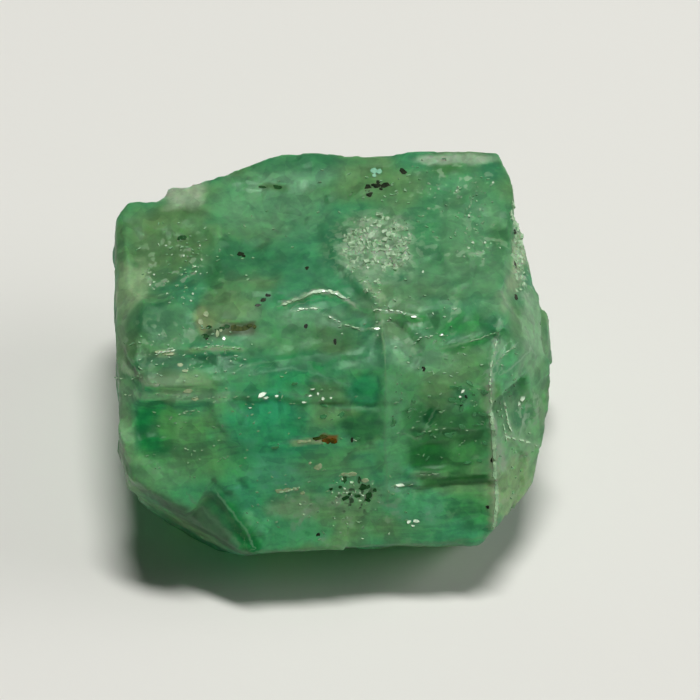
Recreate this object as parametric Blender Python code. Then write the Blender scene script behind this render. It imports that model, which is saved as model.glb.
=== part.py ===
"""Raw emerald crystal: a broken length of a six-sided beryl prism, lying on a flat break.

The stone is one solid. It starts as a block cleaved by named planes. Smaller blocks that still hang on to its
edges are joined to it. Then its skin is worked: flat flake scars, shell-shaped breaks, growth lines and pits.
It is shaped in millimetres and scaled to metres at the end. +X runs along the widest side, -Y is the front,
+Z is up, and the origin is on the surface that the stone rests on, under the middle of its box.
"""

import math
import random

import bmesh
import bpy
import numpy as np
from mathutils import Vector, noise

MM = 0.001
UP = Vector((0.0, 0.0, 1.0))

# The heart is the point that every face is measured from, at its height over the rest face.
# The underlay is the depth of stone below the rest face, sliced off last so that it is truly flat.
HEART = Vector((0.0, 0.0, 3.6))
BLANK_SIZE = 24.0
SKIN_GRAIN = 0.15
SOLID_TRIANGLES = 8200
UNDERLAY = 0.5

EMERALD_GREEN = (0.09, 0.27, 0.13, 1.0)
EMERALD_ROUGHNESS = 0.25
EMERALD_IOR = 1.58

# Each cleavage face: name, azimuth and elevation of its outward direction, distance from the heart.
CLEAVAGE_FACES = (
    ("top", 96, 86.5, 4.56),
    ("top_front_band", -92, 71, 4.56),
    ("brow", -88, 52, 4.78),
    ("front_slope", -85, 32, 4.72),
    ("front_undercut", -87, -40, 5.53),
    ("chipped_corner", -122, -24, 6.69),
    ("left_wall", 182.4, 1, 7.06),
    ("left_foot", 184, -22, 6.62),
    ("left_shoulder", 190, 44, 7.5),
    ("left_front", 200, -4, 7.7),
    ("back_left", 114, 5, 7.2),
    ("back_left_corner", 146, 10, 8.4),
    ("back_wall", 89.5, 6, 6.62),
    ("back_foot", 93, -20, 6.2),
    ("back_right", 20, 9, 7.85),
    ("right_back", 12, 2, 6.98),
    ("flank", -33, 19, 6.85),
    ("flank_shoulder", -4, 36, 7.05),
    ("right_wall", -4, -9, 6.85),
    ("right_foot", 2, -34, 6.21),
    ("right_front_foot", -35, -31, 6.87),
)

# Each lump: its own heart, and its faces written as those of the block.
RIGHT_LOBE = (
    Vector((5.6, 1.4, 3.5)),
    (
        ("outer", 4, 4, 1.62),
        ("outer_front", -46, 4, 1.5),
        ("outer_back", 50, 4, 1.6),
        ("roof", 8, 56, 1.6),
        ("front", -88, 10, 1.4),
        ("back", 92, 10, 1.9),
        ("under", 0, -50, 1.55),
        ("floor", 0, -90, 1.9),
        ("inner", 180, 0, 2.0),
    ),
)
BACK_LUMP = (
    Vector((-4.7, 5.1, 4.75)),
    (
        ("outer", 108, 6, 1.6),
        ("outer_left", 156, 6, 1.2),
        ("outer_right", 62, 0, 1.5),
        ("roof", 112, 60, 1.14),
        ("under", 110, -50, 1.5),
        ("floor", 0, -90, 1.8),
        ("inner", -70, 0, 1.8),
        ("inner_left", 200, 0, 1.2),
    ),
)
BACK_LEDGE = (
    Vector((3.7, 5.35, 5.3)),
    (
        ("outer", 88, 8, 1.5),
        ("roof", 92, 74, 1.5),
        ("left_end", 168, 12, 1.5),
        ("right_end", 6, 8, 1.3),
        ("under", 90, -48, 1.6),
        ("floor", 0, -90, 2.0),
        ("inner", -90, 0, 2.4),
    ),
)
LUMPS = (RIGHT_LOBE, BACK_LUMP, BACK_LEDGE)

# Each flake scar: centre, azimuth and elevation that it faces, turn of its deep end from the level line,
# half length, half width, depth at the shallow end, depth at the deep end.
FLAKE_SCARS = (
    (Vector((-1.2, -4.0, 6.35)), -86, 36, 88, 1.0, 2.2, -0.12, 0.2),
    (Vector((4.0, -2.5, 7.4)), -80, 52, 76, 1.1, 1.6, -0.1, 0.24),
    (Vector((3.3, -3.95, 5.8)), -85, 32, 150, 1.0, 0.9, -0.08, 0.15),
    (Vector((4.3, -4.6, 4.8)), -83, 33, 95, 0.8, 1.2, -0.05, 0.2),
    (Vector((-2.0, -5.2, 4.6)), -91, 30, -35, 1.2, 1.3, -0.08, 0.18),
    (Vector((1.1, -4.6, 5.3)), -85, 31, 12, 1.3, 0.8, -0.06, 0.16),
    (Vector((-3.5, -5.9, 3.5)), -112, 12, 60, 1.1, 0.9, -0.1, 0.34),
    (Vector((-5.2, -3.9, 6.6)), -92, 38, 90, 0.8, 1.3, -0.05, 0.16),
    (Vector((-6.6, -2.9, 6.6)), 198, 40, 8, 2.2, 0.8, -0.1, 0.18),
    (Vector((5.9, -3.2, 5.0)), -26, 24, 78, 1.4, 0.9, -0.08, 0.2),
    (Vector((6.8, -0.2, 4.5)), -2, 6, 0, 0.7, 1.5, 0.0, 0.08),
    (Vector((6.2, 3.2, 6.4)), 14, 38, 84, 1.0, 2.0, -0.1, 0.22),
    (Vector((-3.2, 5.96, 7.2)), 112, 40, 0, 2.2, 0.8, -0.1, 0.16),
    (Vector((1.2, 6.6, 4.6)), 92, 4, 120, 1.9, 1.5, -0.1, 0.36),
    (Vector((-1.8, 6.7, 2.6)), 98, -12, -60, 1.6, 1.6, -0.1, 0.3),
    (Vector((-7.05, 1.2, 4.4)), 178, 3, 80, 1.7, 2.2, -0.12, 0.26),
    (Vector((-6.7, -2.8, 3.2)), 188, -14, -80, 1.1, 1.5, -0.1, 0.26),
    (Vector((-6.6, 4.35, 6.4)), 98, 14, 0, 1.1, 2.4, -0.02, 0.02),
    (Vector((6.4, 4.4, 3.2)), 22, -6, -100, 1.4, 1.4, -0.1, 0.3),
    (Vector((2.4, -5.9, 1.8)), -84, -34, 170, 1.6, 0.8, -0.08, 0.2),
)

# Each shell break: centre, azimuth and elevation that it faces, radius of its rim, depth, ripple height.
SHELL_BREAKS = (
    (Vector((-2.2, 2.5, 8.05)), 92, 84, 2.6, 0.32, 0.0),
    (Vector((-0.35, -1.5, 8.0)), -96, 79, 1.8, 0.32, 0.03),
    (Vector((-5.3, 1.2, 8.0)), 150, 82, 1.7, 0.16, 0.0),
    (Vector((4.9, 2.4, 8.05)), 40, 84, 1.6, 0.14, 0.0),
    (Vector((0.6, 5.6, 7.95)), 86, 72, 1.5, 0.18, 0.0),
    (Vector((-2.0, 6.6, 5.0)), 100, 12, 1.9, 0.2, 0.012),
    (Vector((4.9, 6.0, 3.4)), 60, -2, 1.7, 0.3, 0.015),
    (Vector((-7.05, 3.6, 3.4)), 174, -2, 1.4, 0.2, 0.015),
)

# How a scar ends: across its rim, as a share of its reach, and with height above or below it.
SCAR_RIM = (0.92, 1.06)
SCAR_SIDE_POWER = 1.5
SCAR_RAGGEDNESS = 0.22
SHELL_RIM = (0.8, 1.12)
SHELL_RAGGEDNESS = 0.42
WORKING_HEIGHT = (0.9, 1.25)
RINGS_PER_RIM = 4.5
RINGS_START = (0.3, 0.8)

# Growth lines run level round the front and the sides, the long way of the prism.
# Each side: azimuth and elevation that it faces, strength.
GROWTH_SIDES = ((-85, 34, 0.8), (184, 20, 1.0), (90, 5, 0.9), (8, 10, 0.6))
GROWTH_PITCH = 0.62
GROWTH_DEPTH = 0.055
GROWTH_WANDER = 0.28
GROWTH_FACING = (0.72, 0.92)
TREAD_SHARE = (0.8, 0.84)
PATCH_STRETCH = np.array((0.45, 0.45, 1.6))
PATCH_SIZE = 1.3
PATCH_RANGE = (-0.25, 0.35)

# Unevenness of the whole skin: size of the swells, and their height.
SWELLS = ((3.4, 0.17), (1.3, 0.07), (0.6, 0.018))
WOBBLES = ((1.4, 1.0), (0.6, 0.5))

PIT_COUNT = 30
PIT_RADIUS = (0.4, 1.0)
PIT_DEPTH = (0.04, 0.1)
PIT_FLOOR = 0.2
PIT_SEED = 11


def direction(azimuth, elevation):
    """Unit vector at an azimuth from +X towards +Y and an elevation above the level, in degrees."""
    turn = math.radians(azimuth)
    lift = math.radians(elevation)
    return Vector((math.cos(lift) * math.cos(turn), math.cos(lift) * math.sin(turn), math.sin(lift)))


def clear_scene():
    for item in list(bpy.data.objects):
        bpy.data.objects.remove(item, do_unlink=True)


def cap_cut(mesh, cut):
    """Close the opening that a bisect leaves, with one flat face."""
    rim = [item for item in cut["geom_cut"] if isinstance(item, bmesh.types.BMEdge)]
    if rim:
        bmesh.ops.contextual_create(mesh, geom=rim)


def slice_off(mesh, point, outward):
    """Cut away all that lies outside a plane, and close the cut."""
    everything = mesh.verts[:] + mesh.edges[:] + mesh.faces[:]
    cut = bmesh.ops.bisect_plane(mesh, geom=everything, plane_co=point, plane_no=outward, clear_outer=True)
    cap_cut(mesh, cut)


def cleaved_block(name, heart, faces):
    """A convex block: a cube sliced once for each face."""
    mesh = bmesh.new()
    bmesh.ops.create_cube(mesh, size=BLANK_SIZE)
    bmesh.ops.translate(mesh, vec=heart, verts=mesh.verts)
    for _, azimuth, elevation, distance in faces:
        outward = direction(azimuth, elevation)
        slice_off(mesh, heart + outward * distance, outward)
    bmesh.ops.recalc_face_normals(mesh, faces=mesh.faces)
    data = bpy.data.meshes.new(name)
    mesh.to_mesh(data)
    mesh.free()
    block = bpy.data.objects.new(name, data)
    bpy.context.scene.collection.objects.link(block)
    return block


def bake_modifiers(stone):
    """Turn what the modifiers show into the object's own mesh."""
    graph = bpy.context.evaluated_depsgraph_get()
    baked = bpy.data.meshes.new_from_object(stone.evaluated_get(graph))
    worn_out = stone.data
    stone.modifiers.clear()
    stone.data = baked
    bpy.data.meshes.remove(worn_out)


def join_lump(stone, heart, faces):
    lump = cleaved_block("lump", heart, faces)
    union = stone.modifiers.new("grown_on", "BOOLEAN")
    union.operation = "UNION"
    union.solver = "EXACT"
    union.object = lump
    bake_modifiers(stone)
    bpy.data.objects.remove(lump, do_unlink=True)


def even_skin(stone):
    """Give the stone a fine, even skin, so that the relief has points to move."""
    remesh = stone.modifiers.new("skin", "REMESH")
    remesh.mode = "VOXEL"
    remesh.voxel_size = SKIN_GRAIN
    bake_modifiers(stone)


def read_points(stone):
    points = np.empty(len(stone.data.vertices) * 3)
    stone.data.vertices.foreach_get("co", points)
    return points.reshape(-1, 3)


def read_normals(stone):
    normals = np.empty(len(stone.data.vertices) * 3)
    stone.data.vertices.foreach_get("normal", normals)
    return normals.reshape(-1, 3)


def write_points(stone, points):
    stone.data.vertices.foreach_set("co", points.ravel())
    stone.data.update()


def fade(value, start, end):
    """Smooth ramp from 0 at start to 1 at end."""
    ramp = np.clip((value - start) / (end - start), 0.0, 1.0)
    return ramp * ramp * (3.0 - 2.0 * ramp)


def noise_at(points, size, start):
    """Soft noise from -1 to 1 at each point, with lumps of the given size."""
    origin = Vector((start, -start, 2.0 * start))
    return np.array([noise.noise(Vector(point) / size + origin) for point in points])


def press(points, facing, height, floor, inside):
    """Lower the points that stand above a floor, where they are inside its rim and near to it."""
    near = 1.0 - fade(np.abs(height), *WORKING_HEIGHT)
    over = np.maximum(height - floor, 0.0) * inside * near
    return points - over[:, None] * facing


def cut_flake(points, scar, wobble):
    """Press a flat, slightly tilted scar into the points inside its uneven outline."""
    centre, azimuth, elevation, turn, half_length, half_width, shallow, deep = scar
    facing = direction(azimuth, elevation)
    level = UP.cross(facing).normalized()
    rise = facing.cross(level)
    along = level * math.cos(math.radians(turn)) + rise * math.sin(math.radians(turn))
    across = facing.cross(along)
    offset = points - np.array(centre)
    run = offset @ np.array(along) / half_length
    side = offset @ np.array(across) / half_width
    floor = -(shallow + (deep - shallow) * (run + 1.0) / 2.0)
    reach = np.maximum(np.abs(run), np.abs(side) ** SCAR_SIDE_POWER) + SCAR_RAGGEDNESS * wobble
    inside = 1.0 - fade(reach, *SCAR_RIM)
    return press(points, np.array(facing), offset @ np.array(facing), floor, inside)


def cut_shell(points, shell, wobble):
    """Press a dished break, with faint rings, into the points inside its uneven round rim."""
    centre, azimuth, elevation, rim, depth, ripple = shell
    facing = np.array(direction(azimuth, elevation))
    offset = points - np.array(centre)
    height = offset @ facing
    spread = np.linalg.norm(offset - height[:, None] * facing, axis=1) / rim + SHELL_RAGGEDNESS * wobble
    rings = ripple * np.sin(spread * RINGS_PER_RIM * math.tau) * fade(spread, *RINGS_START)
    floor = rings - depth * (1.0 - spread * spread)
    inside = 1.0 - fade(spread, *SHELL_RIM)
    return press(points, facing, height, floor, inside)


def cut_growth_lines(points, normals, wobble):
    """Level steps like a worn staircase, strongest on the faces along the prism."""
    strength = np.zeros(len(points))
    for azimuth, elevation, weight in GROWTH_SIDES:
        facing = normals @ np.array(direction(azimuth, elevation))
        strength = np.maximum(strength, weight * fade(facing, *GROWTH_FACING))
    course = (points[:, 2] + GROWTH_WANDER * wobble) / GROWTH_PITCH
    step = course - np.floor(course)
    tread = fade(step, 0.0, TREAD_SHARE[0]) - fade(step, TREAD_SHARE[1], 1.0)
    patchy = fade(noise_at(points * PATCH_STRETCH, PATCH_SIZE, 5.0), *PATCH_RANGE)
    return points - normals * (GROWTH_DEPTH * strength * patchy * tread)[:, None]


def press_pits(points, normals, wobble):
    """Small uneven dents scattered over the whole skin."""
    dice = random.Random(PIT_SEED)
    depth = np.zeros(len(points))
    for _ in range(PIT_COUNT):
        centre = points[dice.randrange(len(points))]
        radius = dice.uniform(*PIT_RADIUS)
        bite = dice.uniform(*PIT_DEPTH)
        away = np.linalg.norm(points - centre, axis=1) / radius + SCAR_RAGGEDNESS * wobble
        depth = np.maximum(depth, bite * (1.0 - fade(away, PIT_FLOOR, 1.0)))
    return points - normals * depth[:, None]


def swell(points, normals):
    """Broad unevenness first, then finer."""
    for number, (size, height) in enumerate(SWELLS, start=7):
        points = points + normals * (height * noise_at(points, size, number))[:, None]
    return points


def work_skin(stone):
    """All the relief, from the large scars down to the pits."""
    points = read_points(stone)
    normals = read_normals(stone)
    wobble = np.zeros(len(points))
    for number, (size, share) in enumerate(WOBBLES, start=2):
        wobble = wobble + share * noise_at(points, size, number)
    for scar in FLAKE_SCARS:
        points = cut_flake(points, scar, wobble)
    for shell in SHELL_BREAKS:
        points = cut_shell(points, shell, wobble)
    points = swell(points, normals)
    points = cut_growth_lines(points, normals, wobble)
    points = press_pits(points, normals, wobble)
    write_points(stone, points)


def thin_out(stone):
    """Fewer, larger faces where the stone is flat."""
    stone.data.calc_loop_triangles()
    thin = stone.modifiers.new("thin", "DECIMATE")
    thin.decimate_type = "COLLAPSE"
    thin.ratio = SOLID_TRIANGLES / len(stone.data.loop_triangles)
    bake_modifiers(stone)


def cut_rest_face(stone):
    """Slice the stone off level at the surface it rests on."""
    mesh = bmesh.new()
    mesh.from_mesh(stone.data)
    slice_off(mesh, Vector((0.0, 0.0, 0.0)), -UP)
    bmesh.ops.triangulate(mesh, faces=[face for face in mesh.faces if len(face.verts) > 3])
    bmesh.ops.recalc_face_normals(mesh, faces=mesh.faces)
    mesh.to_mesh(stone.data)
    mesh.free()


def centre_and_scale(stone):
    """Put the middle of the stone's box over the origin, and turn millimetres into metres."""
    points = read_points(stone)
    middle = (points.min(axis=0) + points.max(axis=0)) / 2.0
    middle[2] = 0.0
    write_points(stone, (points - middle) * MM)


def emerald_material():
    material = bpy.data.materials.new("emerald")
    material.use_nodes = True
    shader = material.node_tree.nodes["Principled BSDF"]
    shader.inputs["Base Color"].default_value = EMERALD_GREEN
    shader.inputs["Roughness"].default_value = EMERALD_ROUGHNESS
    shader.inputs["Metallic"].default_value = 0.0
    shader.inputs["IOR"].default_value = EMERALD_IOR
    return material


def build_crystal():
    underlay = ("underlay", 0, -90, HEART.z + UNDERLAY)
    stone = cleaved_block("emerald_crystal", HEART, CLEAVAGE_FACES + (underlay,))
    for heart, faces in LUMPS:
        join_lump(stone, heart, faces)
    even_skin(stone)
    work_skin(stone)
    thin_out(stone)
    cut_rest_face(stone)
    centre_and_scale(stone)
    stone.data.materials.clear()
    stone.data.materials.append(emerald_material())
    return stone


clear_scene()
build_crystal()
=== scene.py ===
# %% [markdown]
# # A raw emerald crystal
#
# This lesson dresses one rough emerald. The stone's solid comes from the frame. Here it gets a finer skin with
# breaks, ridges and growth lines, a clear green body with clouds, bands, cracks and stains in it, and the small
# things that grew with it: black mica, cream feldspar, sugary grains and bright cleavage chips.

# %% Load the frame
import math
import random

import bmesh
import bpy
import numpy as np
from mathutils import Matrix, Vector, noise
from mathutils.bvhtree import BVHTree
from mathutils.kdtree import KDTree


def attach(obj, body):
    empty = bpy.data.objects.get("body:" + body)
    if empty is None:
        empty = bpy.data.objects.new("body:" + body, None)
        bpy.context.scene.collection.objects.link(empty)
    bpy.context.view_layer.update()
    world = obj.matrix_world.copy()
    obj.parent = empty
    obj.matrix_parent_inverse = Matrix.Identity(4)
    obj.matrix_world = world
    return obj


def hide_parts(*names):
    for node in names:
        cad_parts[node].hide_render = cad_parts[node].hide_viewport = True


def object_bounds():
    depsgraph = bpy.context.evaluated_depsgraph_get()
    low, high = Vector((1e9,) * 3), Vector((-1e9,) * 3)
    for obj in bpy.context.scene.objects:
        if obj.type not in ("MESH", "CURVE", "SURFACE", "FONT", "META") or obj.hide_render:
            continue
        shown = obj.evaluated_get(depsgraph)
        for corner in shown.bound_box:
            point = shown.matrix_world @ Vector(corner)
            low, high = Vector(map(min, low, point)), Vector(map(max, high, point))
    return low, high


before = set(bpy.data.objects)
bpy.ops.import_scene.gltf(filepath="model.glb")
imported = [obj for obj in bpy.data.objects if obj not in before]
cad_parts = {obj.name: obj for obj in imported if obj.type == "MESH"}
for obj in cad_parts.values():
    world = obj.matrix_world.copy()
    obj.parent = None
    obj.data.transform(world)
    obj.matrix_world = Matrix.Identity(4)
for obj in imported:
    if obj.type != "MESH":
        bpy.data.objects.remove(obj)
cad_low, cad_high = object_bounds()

MM = 0.001
NODE = "emerald_crystal"
print("stone box in mm", [round(value / MM, 2) for value in (*cad_low, *cad_high)])

# %% [markdown]
# ## Helpers for the whole scene
#
# Everything in the scene is put in the same way, and every material starts from the same Principled shader. The
# small functions for that come first, so the cells below hold only what is special to each thing.

# %% Objects, materials and nodes
def put_in(name, data):
    """A new object in the scene."""
    item = bpy.data.objects.new(name, data)
    bpy.context.scene.collection.objects.link(item)
    return item


def new_material(name):
    """A material with its tree, its Principled shader and a maker of new nodes."""
    material = bpy.data.materials.new(name)
    material.use_nodes = True
    tree = material.node_tree
    return material, tree, tree.nodes["Principled BSDF"]


def add_node(tree, kind, **values):
    """A new node; values name its inputs, with spaces written as _, or its own settings."""
    node = tree.nodes.new("ShaderNode" + kind)
    for name, value in values.items():
        label = name.replace("_", " ")
        if hasattr(node, name):
            setattr(node, name, value)
        else:
            node.inputs[label].default_value = value
    return node


def add_bump(tree, shader, height, strength, distance):
    """Fine relief in the shading, from a height that changes over the surface."""
    bump = add_node(tree, "Bump", Strength=strength, Distance=distance)
    tree.links.new(height, bump.inputs["Height"])
    tree.links.new(bump.outputs["Normal"], shader.inputs["Normal"])


print("helpers ready")

# %% [markdown]
# ## The camera
#
# A close view from the front, looking down by about fifty degrees, as one looks at a small stone on a table. A
# long lens a little way off keeps the faces of such a small thing from spreading. The lens is worked out from the
# width of stone and paper that one picture point covers, so the distance can be changed on its own.

# %% Place the camera
PICTURE = 700
POINT_SIZE = 0.0326 * MM
VIEW_ELEVATION = math.radians(50.0)
VIEW_DISTANCE = 130.0 * MM
VIEW_AIM = Vector((0.587, 0.26, 4.5)) * MM
SENSOR_WIDTH = 36.0
NEAREST_SEEN = 1.0 * MM

view_back = Vector((0.0, -math.cos(VIEW_ELEVATION), math.sin(VIEW_ELEVATION)))
view_up = Vector((0.0, math.sin(VIEW_ELEVATION), math.cos(VIEW_ELEVATION)))
camera_data = bpy.data.cameras.new("camera")
camera_data.sensor_width = SENSOR_WIDTH
camera_data.lens = SENSOR_WIDTH * VIEW_DISTANCE / (PICTURE * POINT_SIZE)
camera_data.clip_start = NEAREST_SEEN
camera = put_in("camera", camera_data)
camera.location = VIEW_AIM + view_back * VIEW_DISTANCE
camera.rotation_mode = "QUATERNION"
camera.rotation_quaternion = (-view_back).to_track_quat("-Z", "Y")
bpy.context.scene.camera = camera
print("lens in mm", round(camera_data.lens, 1))

# %% [markdown]
# ## The floor and the light
#
# The stone lies on plain pale paper. A lamp almost straight above, long from left to right and short from front
# to back, gives the crisp shadow under the front edge. A broad one from the right gives the soft shadow on the
# left. A dim sky fills the rest, and a pale band low in it ends a level view in grey. Point lamps would cut hard
# edges, so both lamps have area.

# %% Floor, lamps and sky
FLOOR_HALF = 0.6
PAPER_WHITE = (0.80, 0.80, 0.77, 1.0)
PAPER_ROUGHNESS = 0.85
PAPER_SHEEN = 0.2
PAPER_GRAIN = 1400.0
PAPER_RELIEF = (0.25, 0.03 * MM)
LAMP_WHITE = (1.0, 0.99, 0.96)
SKY_LAMP_PLACE = Vector((0.02, 0.044, 0.40))
LAMPS = (
    # name, place, width, depth, watts
    ("sky_lamp", SKY_LAMP_PLACE, 0.16, 0.06, 1.27),
    ("window_lamp", Vector((0.32, 0.025, 0.17)), 0.24, 0.24, 0.45),
)
SKY_STOPS = (
    # height of the view, brightness: a pale band low down, dark above it, and soft light overhead
    (0.0, (0.62, 0.62, 0.62, 1.0)),
    (0.12, (0.5, 0.5, 0.5, 1.0)),
    (0.22, (0.035, 0.035, 0.035, 1.0)),
    (1.0, (0.098, 0.099, 0.1, 1.0)),
)
SKY_STRENGTH = 0.4


def pale_paper():
    material, tree, shader = new_material("pale_paper")
    shader.inputs["Base Color"].default_value = PAPER_WHITE
    shader.inputs["Roughness"].default_value = PAPER_ROUGHNESS
    shader.inputs["Specular IOR Level"].default_value = PAPER_SHEEN
    place = add_node(tree, "TexCoord")
    grain = add_node(tree, "TexNoise", Scale=PAPER_GRAIN, Detail=4.0)
    tree.links.new(place.outputs["Object"], grain.inputs["Vector"])
    add_bump(tree, shader, grain.outputs["Fac"], *PAPER_RELIEF)
    return material


def add_floor():
    half = FLOOR_HALF
    data = bpy.data.meshes.new("floor")
    data.from_pydata([(-half, -half, 0.0), (half, -half, 0.0), (half, half, 0.0), (-half, half, 0.0)], [],
                     [(0, 1, 2, 3)])
    data.materials.append(pale_paper())
    floor = put_in("floor", data)


def add_lamp(name, place, width, depth, watts):
    data = bpy.data.lights.new(name, "AREA")
    data.shape = "ELLIPSE"
    data.size = width
    data.size_y = depth
    data.energy = watts
    data.color = LAMP_WHITE
    lamp = put_in(name, data)
    lamp.location = place
    lamp.rotation_mode = "QUATERNION"
    lamp.rotation_quaternion = place.to_track_quat("Z", "Y")


def add_sky():
    world = bpy.data.worlds.new("soft_sky")
    world.use_nodes = True
    nodes, links = world.node_tree.nodes, world.node_tree.links
    look = nodes.new("ShaderNodeTexCoord")
    split = nodes.new("ShaderNodeSeparateXYZ")
    ramp = nodes.new("ShaderNodeValToRGB")
    stops = ramp.color_ramp.elements
    for place, colour in SKY_STOPS[1:-1]:
        stops.new(place).color = colour
    stops[0].color = SKY_STOPS[0][1]
    stops[-1].color = SKY_STOPS[-1][1]
    links.new(look.outputs["Generated"], split.inputs["Vector"])
    links.new(split.outputs["Z"], ramp.inputs["Fac"])
    links.new(ramp.outputs["Color"], nodes["Background"].inputs["Color"])
    nodes["Background"].inputs["Strength"].default_value = SKY_STRENGTH
    bpy.context.scene.world = world


add_floor()
for lamp in LAMPS:
    add_lamp(*lamp)
add_sky()
bpy.context.scene.view_settings.view_transform = "Standard"

# %% [markdown]
# ## A finer skin
#
# The frame's solid has flat triangles of about half a millimetre. A real break is smooth between its edges, so a
# copy of the solid is remeshed to points a tenth of a millimetre apart and its triangle creases are rubbed down.
# Subdivision would keep the creases, which is why the stone is remeshed.

# %% Remesh the stone
SKIN_STEP = 0.1 * MM
RUB_ROUNDS = 4
RUB_SHARE = 0.5


def bake_modifiers(item):
    """Turn what the modifiers show into the piece's own mesh."""
    graph = bpy.context.evaluated_depsgraph_get()
    done = bpy.data.meshes.new_from_object(item.evaluated_get(graph))
    item.modifiers.clear()
    item.data = done


def fine_copy():
    piece = put_in("emerald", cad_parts[NODE].data.copy())
    piece.data.materials.clear()
    remesh = piece.modifiers.new("skin", "REMESH")
    remesh.mode = "VOXEL"
    remesh.voxel_size = SKIN_STEP
    bake_modifiers(piece)
    rub = piece.modifiers.new("rub", "SMOOTH")
    rub.factor = RUB_SHARE
    rub.iterations = RUB_ROUNDS
    bake_modifiers(piece)
    return piece


stone = fine_copy()
print("skin points", len(stone.data.vertices), "faces", len(stone.data.polygons))

# %% [markdown]
# ## Finding a place on the stone
#
# Every mark is placed by the picture point where it shows. A ray from the camera through that point meets the
# stone, and the mark is put there, on the skin, with the skin's own direction. So it stays on the stone from every
# side, and moves with it if the solid changes. The first thing found this way is a thin tooth on the back lump,
# which is rubbed down before anything is built on the skin.

# %% Read, write and find points
STONE_MIDDLE = (332, 355)
PULL_STEPS = 40
PULL_SHARE = 0.015
LOWEST_SPOT = 0.3
LEAST_SHOWN = 0.35
TOOTH = (171, 189)
TOOTH_REACH = 0.75
TOOTH_RUBS = 60


def read_skin(piece):
    """Points in millimetres, and normals, as arrays."""
    count = len(piece.data.vertices)
    points = np.empty(count * 3)
    normals = np.empty(count * 3)
    piece.data.vertices.foreach_get("co", points)
    piece.data.vertices.foreach_get("normal", normals)
    return points.reshape(-1, 3) / MM, normals.reshape(-1, 3)


def write_skin(piece, points):
    piece.data.vertices.foreach_set("co", (points * MM).ravel())
    piece.data.update()


def fade(value, start, end):
    """Smooth ramp from 0 at start to 1 at end."""
    ramp = np.clip((value - start) / (end - start), 0.0, 1.0)
    return ramp * ramp * (3.0 - 2.0 * ramp)


def noise_at(points, size, start):
    """Soft noise from -1 to 1 at each point, with lumps of the given size."""
    origin = Vector((start, -start, 2.0 * start))
    return np.array([noise.noise(Vector(point) / size + origin) for point in points])


def layered_noise(points, layers):
    """Noise summed over layers, each of its own lump size, start and share."""
    return sum(share * noise_at(points, size, start) for size, start, share in layers)


def skin_tree(piece):
    corners = [vertex.co / MM for vertex in piece.data.vertices]
    return BVHTree.FromPolygons(corners, [face.vertices[:] for face in piece.data.polygons])


def seen_at(tree, across, down):
    """The stone's point in millimetres, and its normal, where a picture point falls on it.

    A point just outside the outline is drawn in towards the middle until it meets the stone.
    """
    start = camera.location / MM
    for _ in range(PULL_STEPS):
        side = (across - PICTURE / 2) * POINT_SIZE
        rise = (PICTURE / 2 - down) * POINT_SIZE
        target = (VIEW_AIM + Vector((side, 0.0, 0.0)) + view_up * rise) / MM
        spot, normal, _, _ = tree.ray_cast(start, (target - start).normalized())
        if spot and spot.z > LOWEST_SPOT:
            return spot, normal
        across += (STONE_MIDDLE[0] - across) * PULL_SHARE
        down += (STONE_MIDDLE[1] - down) * PULL_SHARE
    raise ValueError("no stone at this picture point")


def skin_axes(normal, turn):
    """Level, rising and outward directions of the skin, turned by some degrees about the outward one."""
    level = (Vector((1.0, 0.0, 0.0)) - normal * normal.x).normalized()
    rising = normal.cross(level)
    angle = math.radians(turn)
    along = level * math.cos(angle) + rising * math.sin(angle)
    return along, normal.cross(along), normal


def point_length(direction):
    """Length in millimetres along the skin that one picture point covers in a direction."""
    shown = math.hypot(direction.x, direction.dot(view_up))
    return POINT_SIZE / MM / max(shown, LEAST_SHOWN)


def rub_tooth():
    """Wear away the thin tooth on the back lump, which a rough stone would not have kept."""
    spot, _ = seen_at(skin_tree(stone), *TOOTH)
    mesh = bmesh.new()
    mesh.from_mesh(stone.data)
    near = [vertex for vertex in mesh.verts if (vertex.co / MM - spot).length < TOOTH_REACH]
    for _ in range(TOOTH_RUBS):
        bmesh.ops.smooth_vert(mesh, verts=near, factor=RUB_SHARE, use_axis_x=True, use_axis_y=True, use_axis_z=True)
    mesh.to_mesh(stone.data)
    mesh.free()
    print("tooth points", len(near))


rub_tooth()
smooth_tree = skin_tree(stone)
points, normals = read_skin(stone)
print("middle of the view falls on", seen_at(smooth_tree, PICTURE / 2, PICTURE / 2)[0])

# %% [markdown]
# ## Facets of the break
#
# Emerald breaks like glass with a grain in it: many small faces that differ by a few degrees, with soft edges
# between. Points are strewn over the skin, each gets its own slight tilt, and every skin point follows the lowest
# of its nearest tilted planes. Plain noise would give dunes and not faces.

# %% Tilted facets
FACET_SEED = 5
COARSE_FACETS = (300, 0.05)
FINE_FACETS = (2600, 0.06)
NEAREST = 3


def facet_heights(points, count, tilt):
    dice = random.Random(FACET_SEED + count)
    seeds = [points[dice.randrange(len(points))] for _ in range(count)]
    slopes = np.array([[dice.uniform(-tilt, tilt) for _ in range(3)] for _ in seeds])
    finder = KDTree(count)
    for number, seed in enumerate(seeds):
        finder.insert(seed, number)
    finder.balance()
    near = np.array([[found[1] for found in finder.find_n(point, NEAREST)] for point in points])
    offset = points[:, None, :] - np.array(seeds)[near]
    return (offset * slopes[near]).sum(axis=2).min(axis=1)


height = facet_heights(points, *COARSE_FACETS) + facet_heights(points, *FINE_FACETS)
print("facet relief in mm", round(float(height.min()), 3), round(float(height.max()), 3))

# %% [markdown]
# ## Growth lines
#
# Beryl grows in layers, and its sides carry fine level lines. Here they run level round the front slope and the
# left side, strong where the skin was never broken. Each is a small step: a ramp and a sharp drop.

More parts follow.
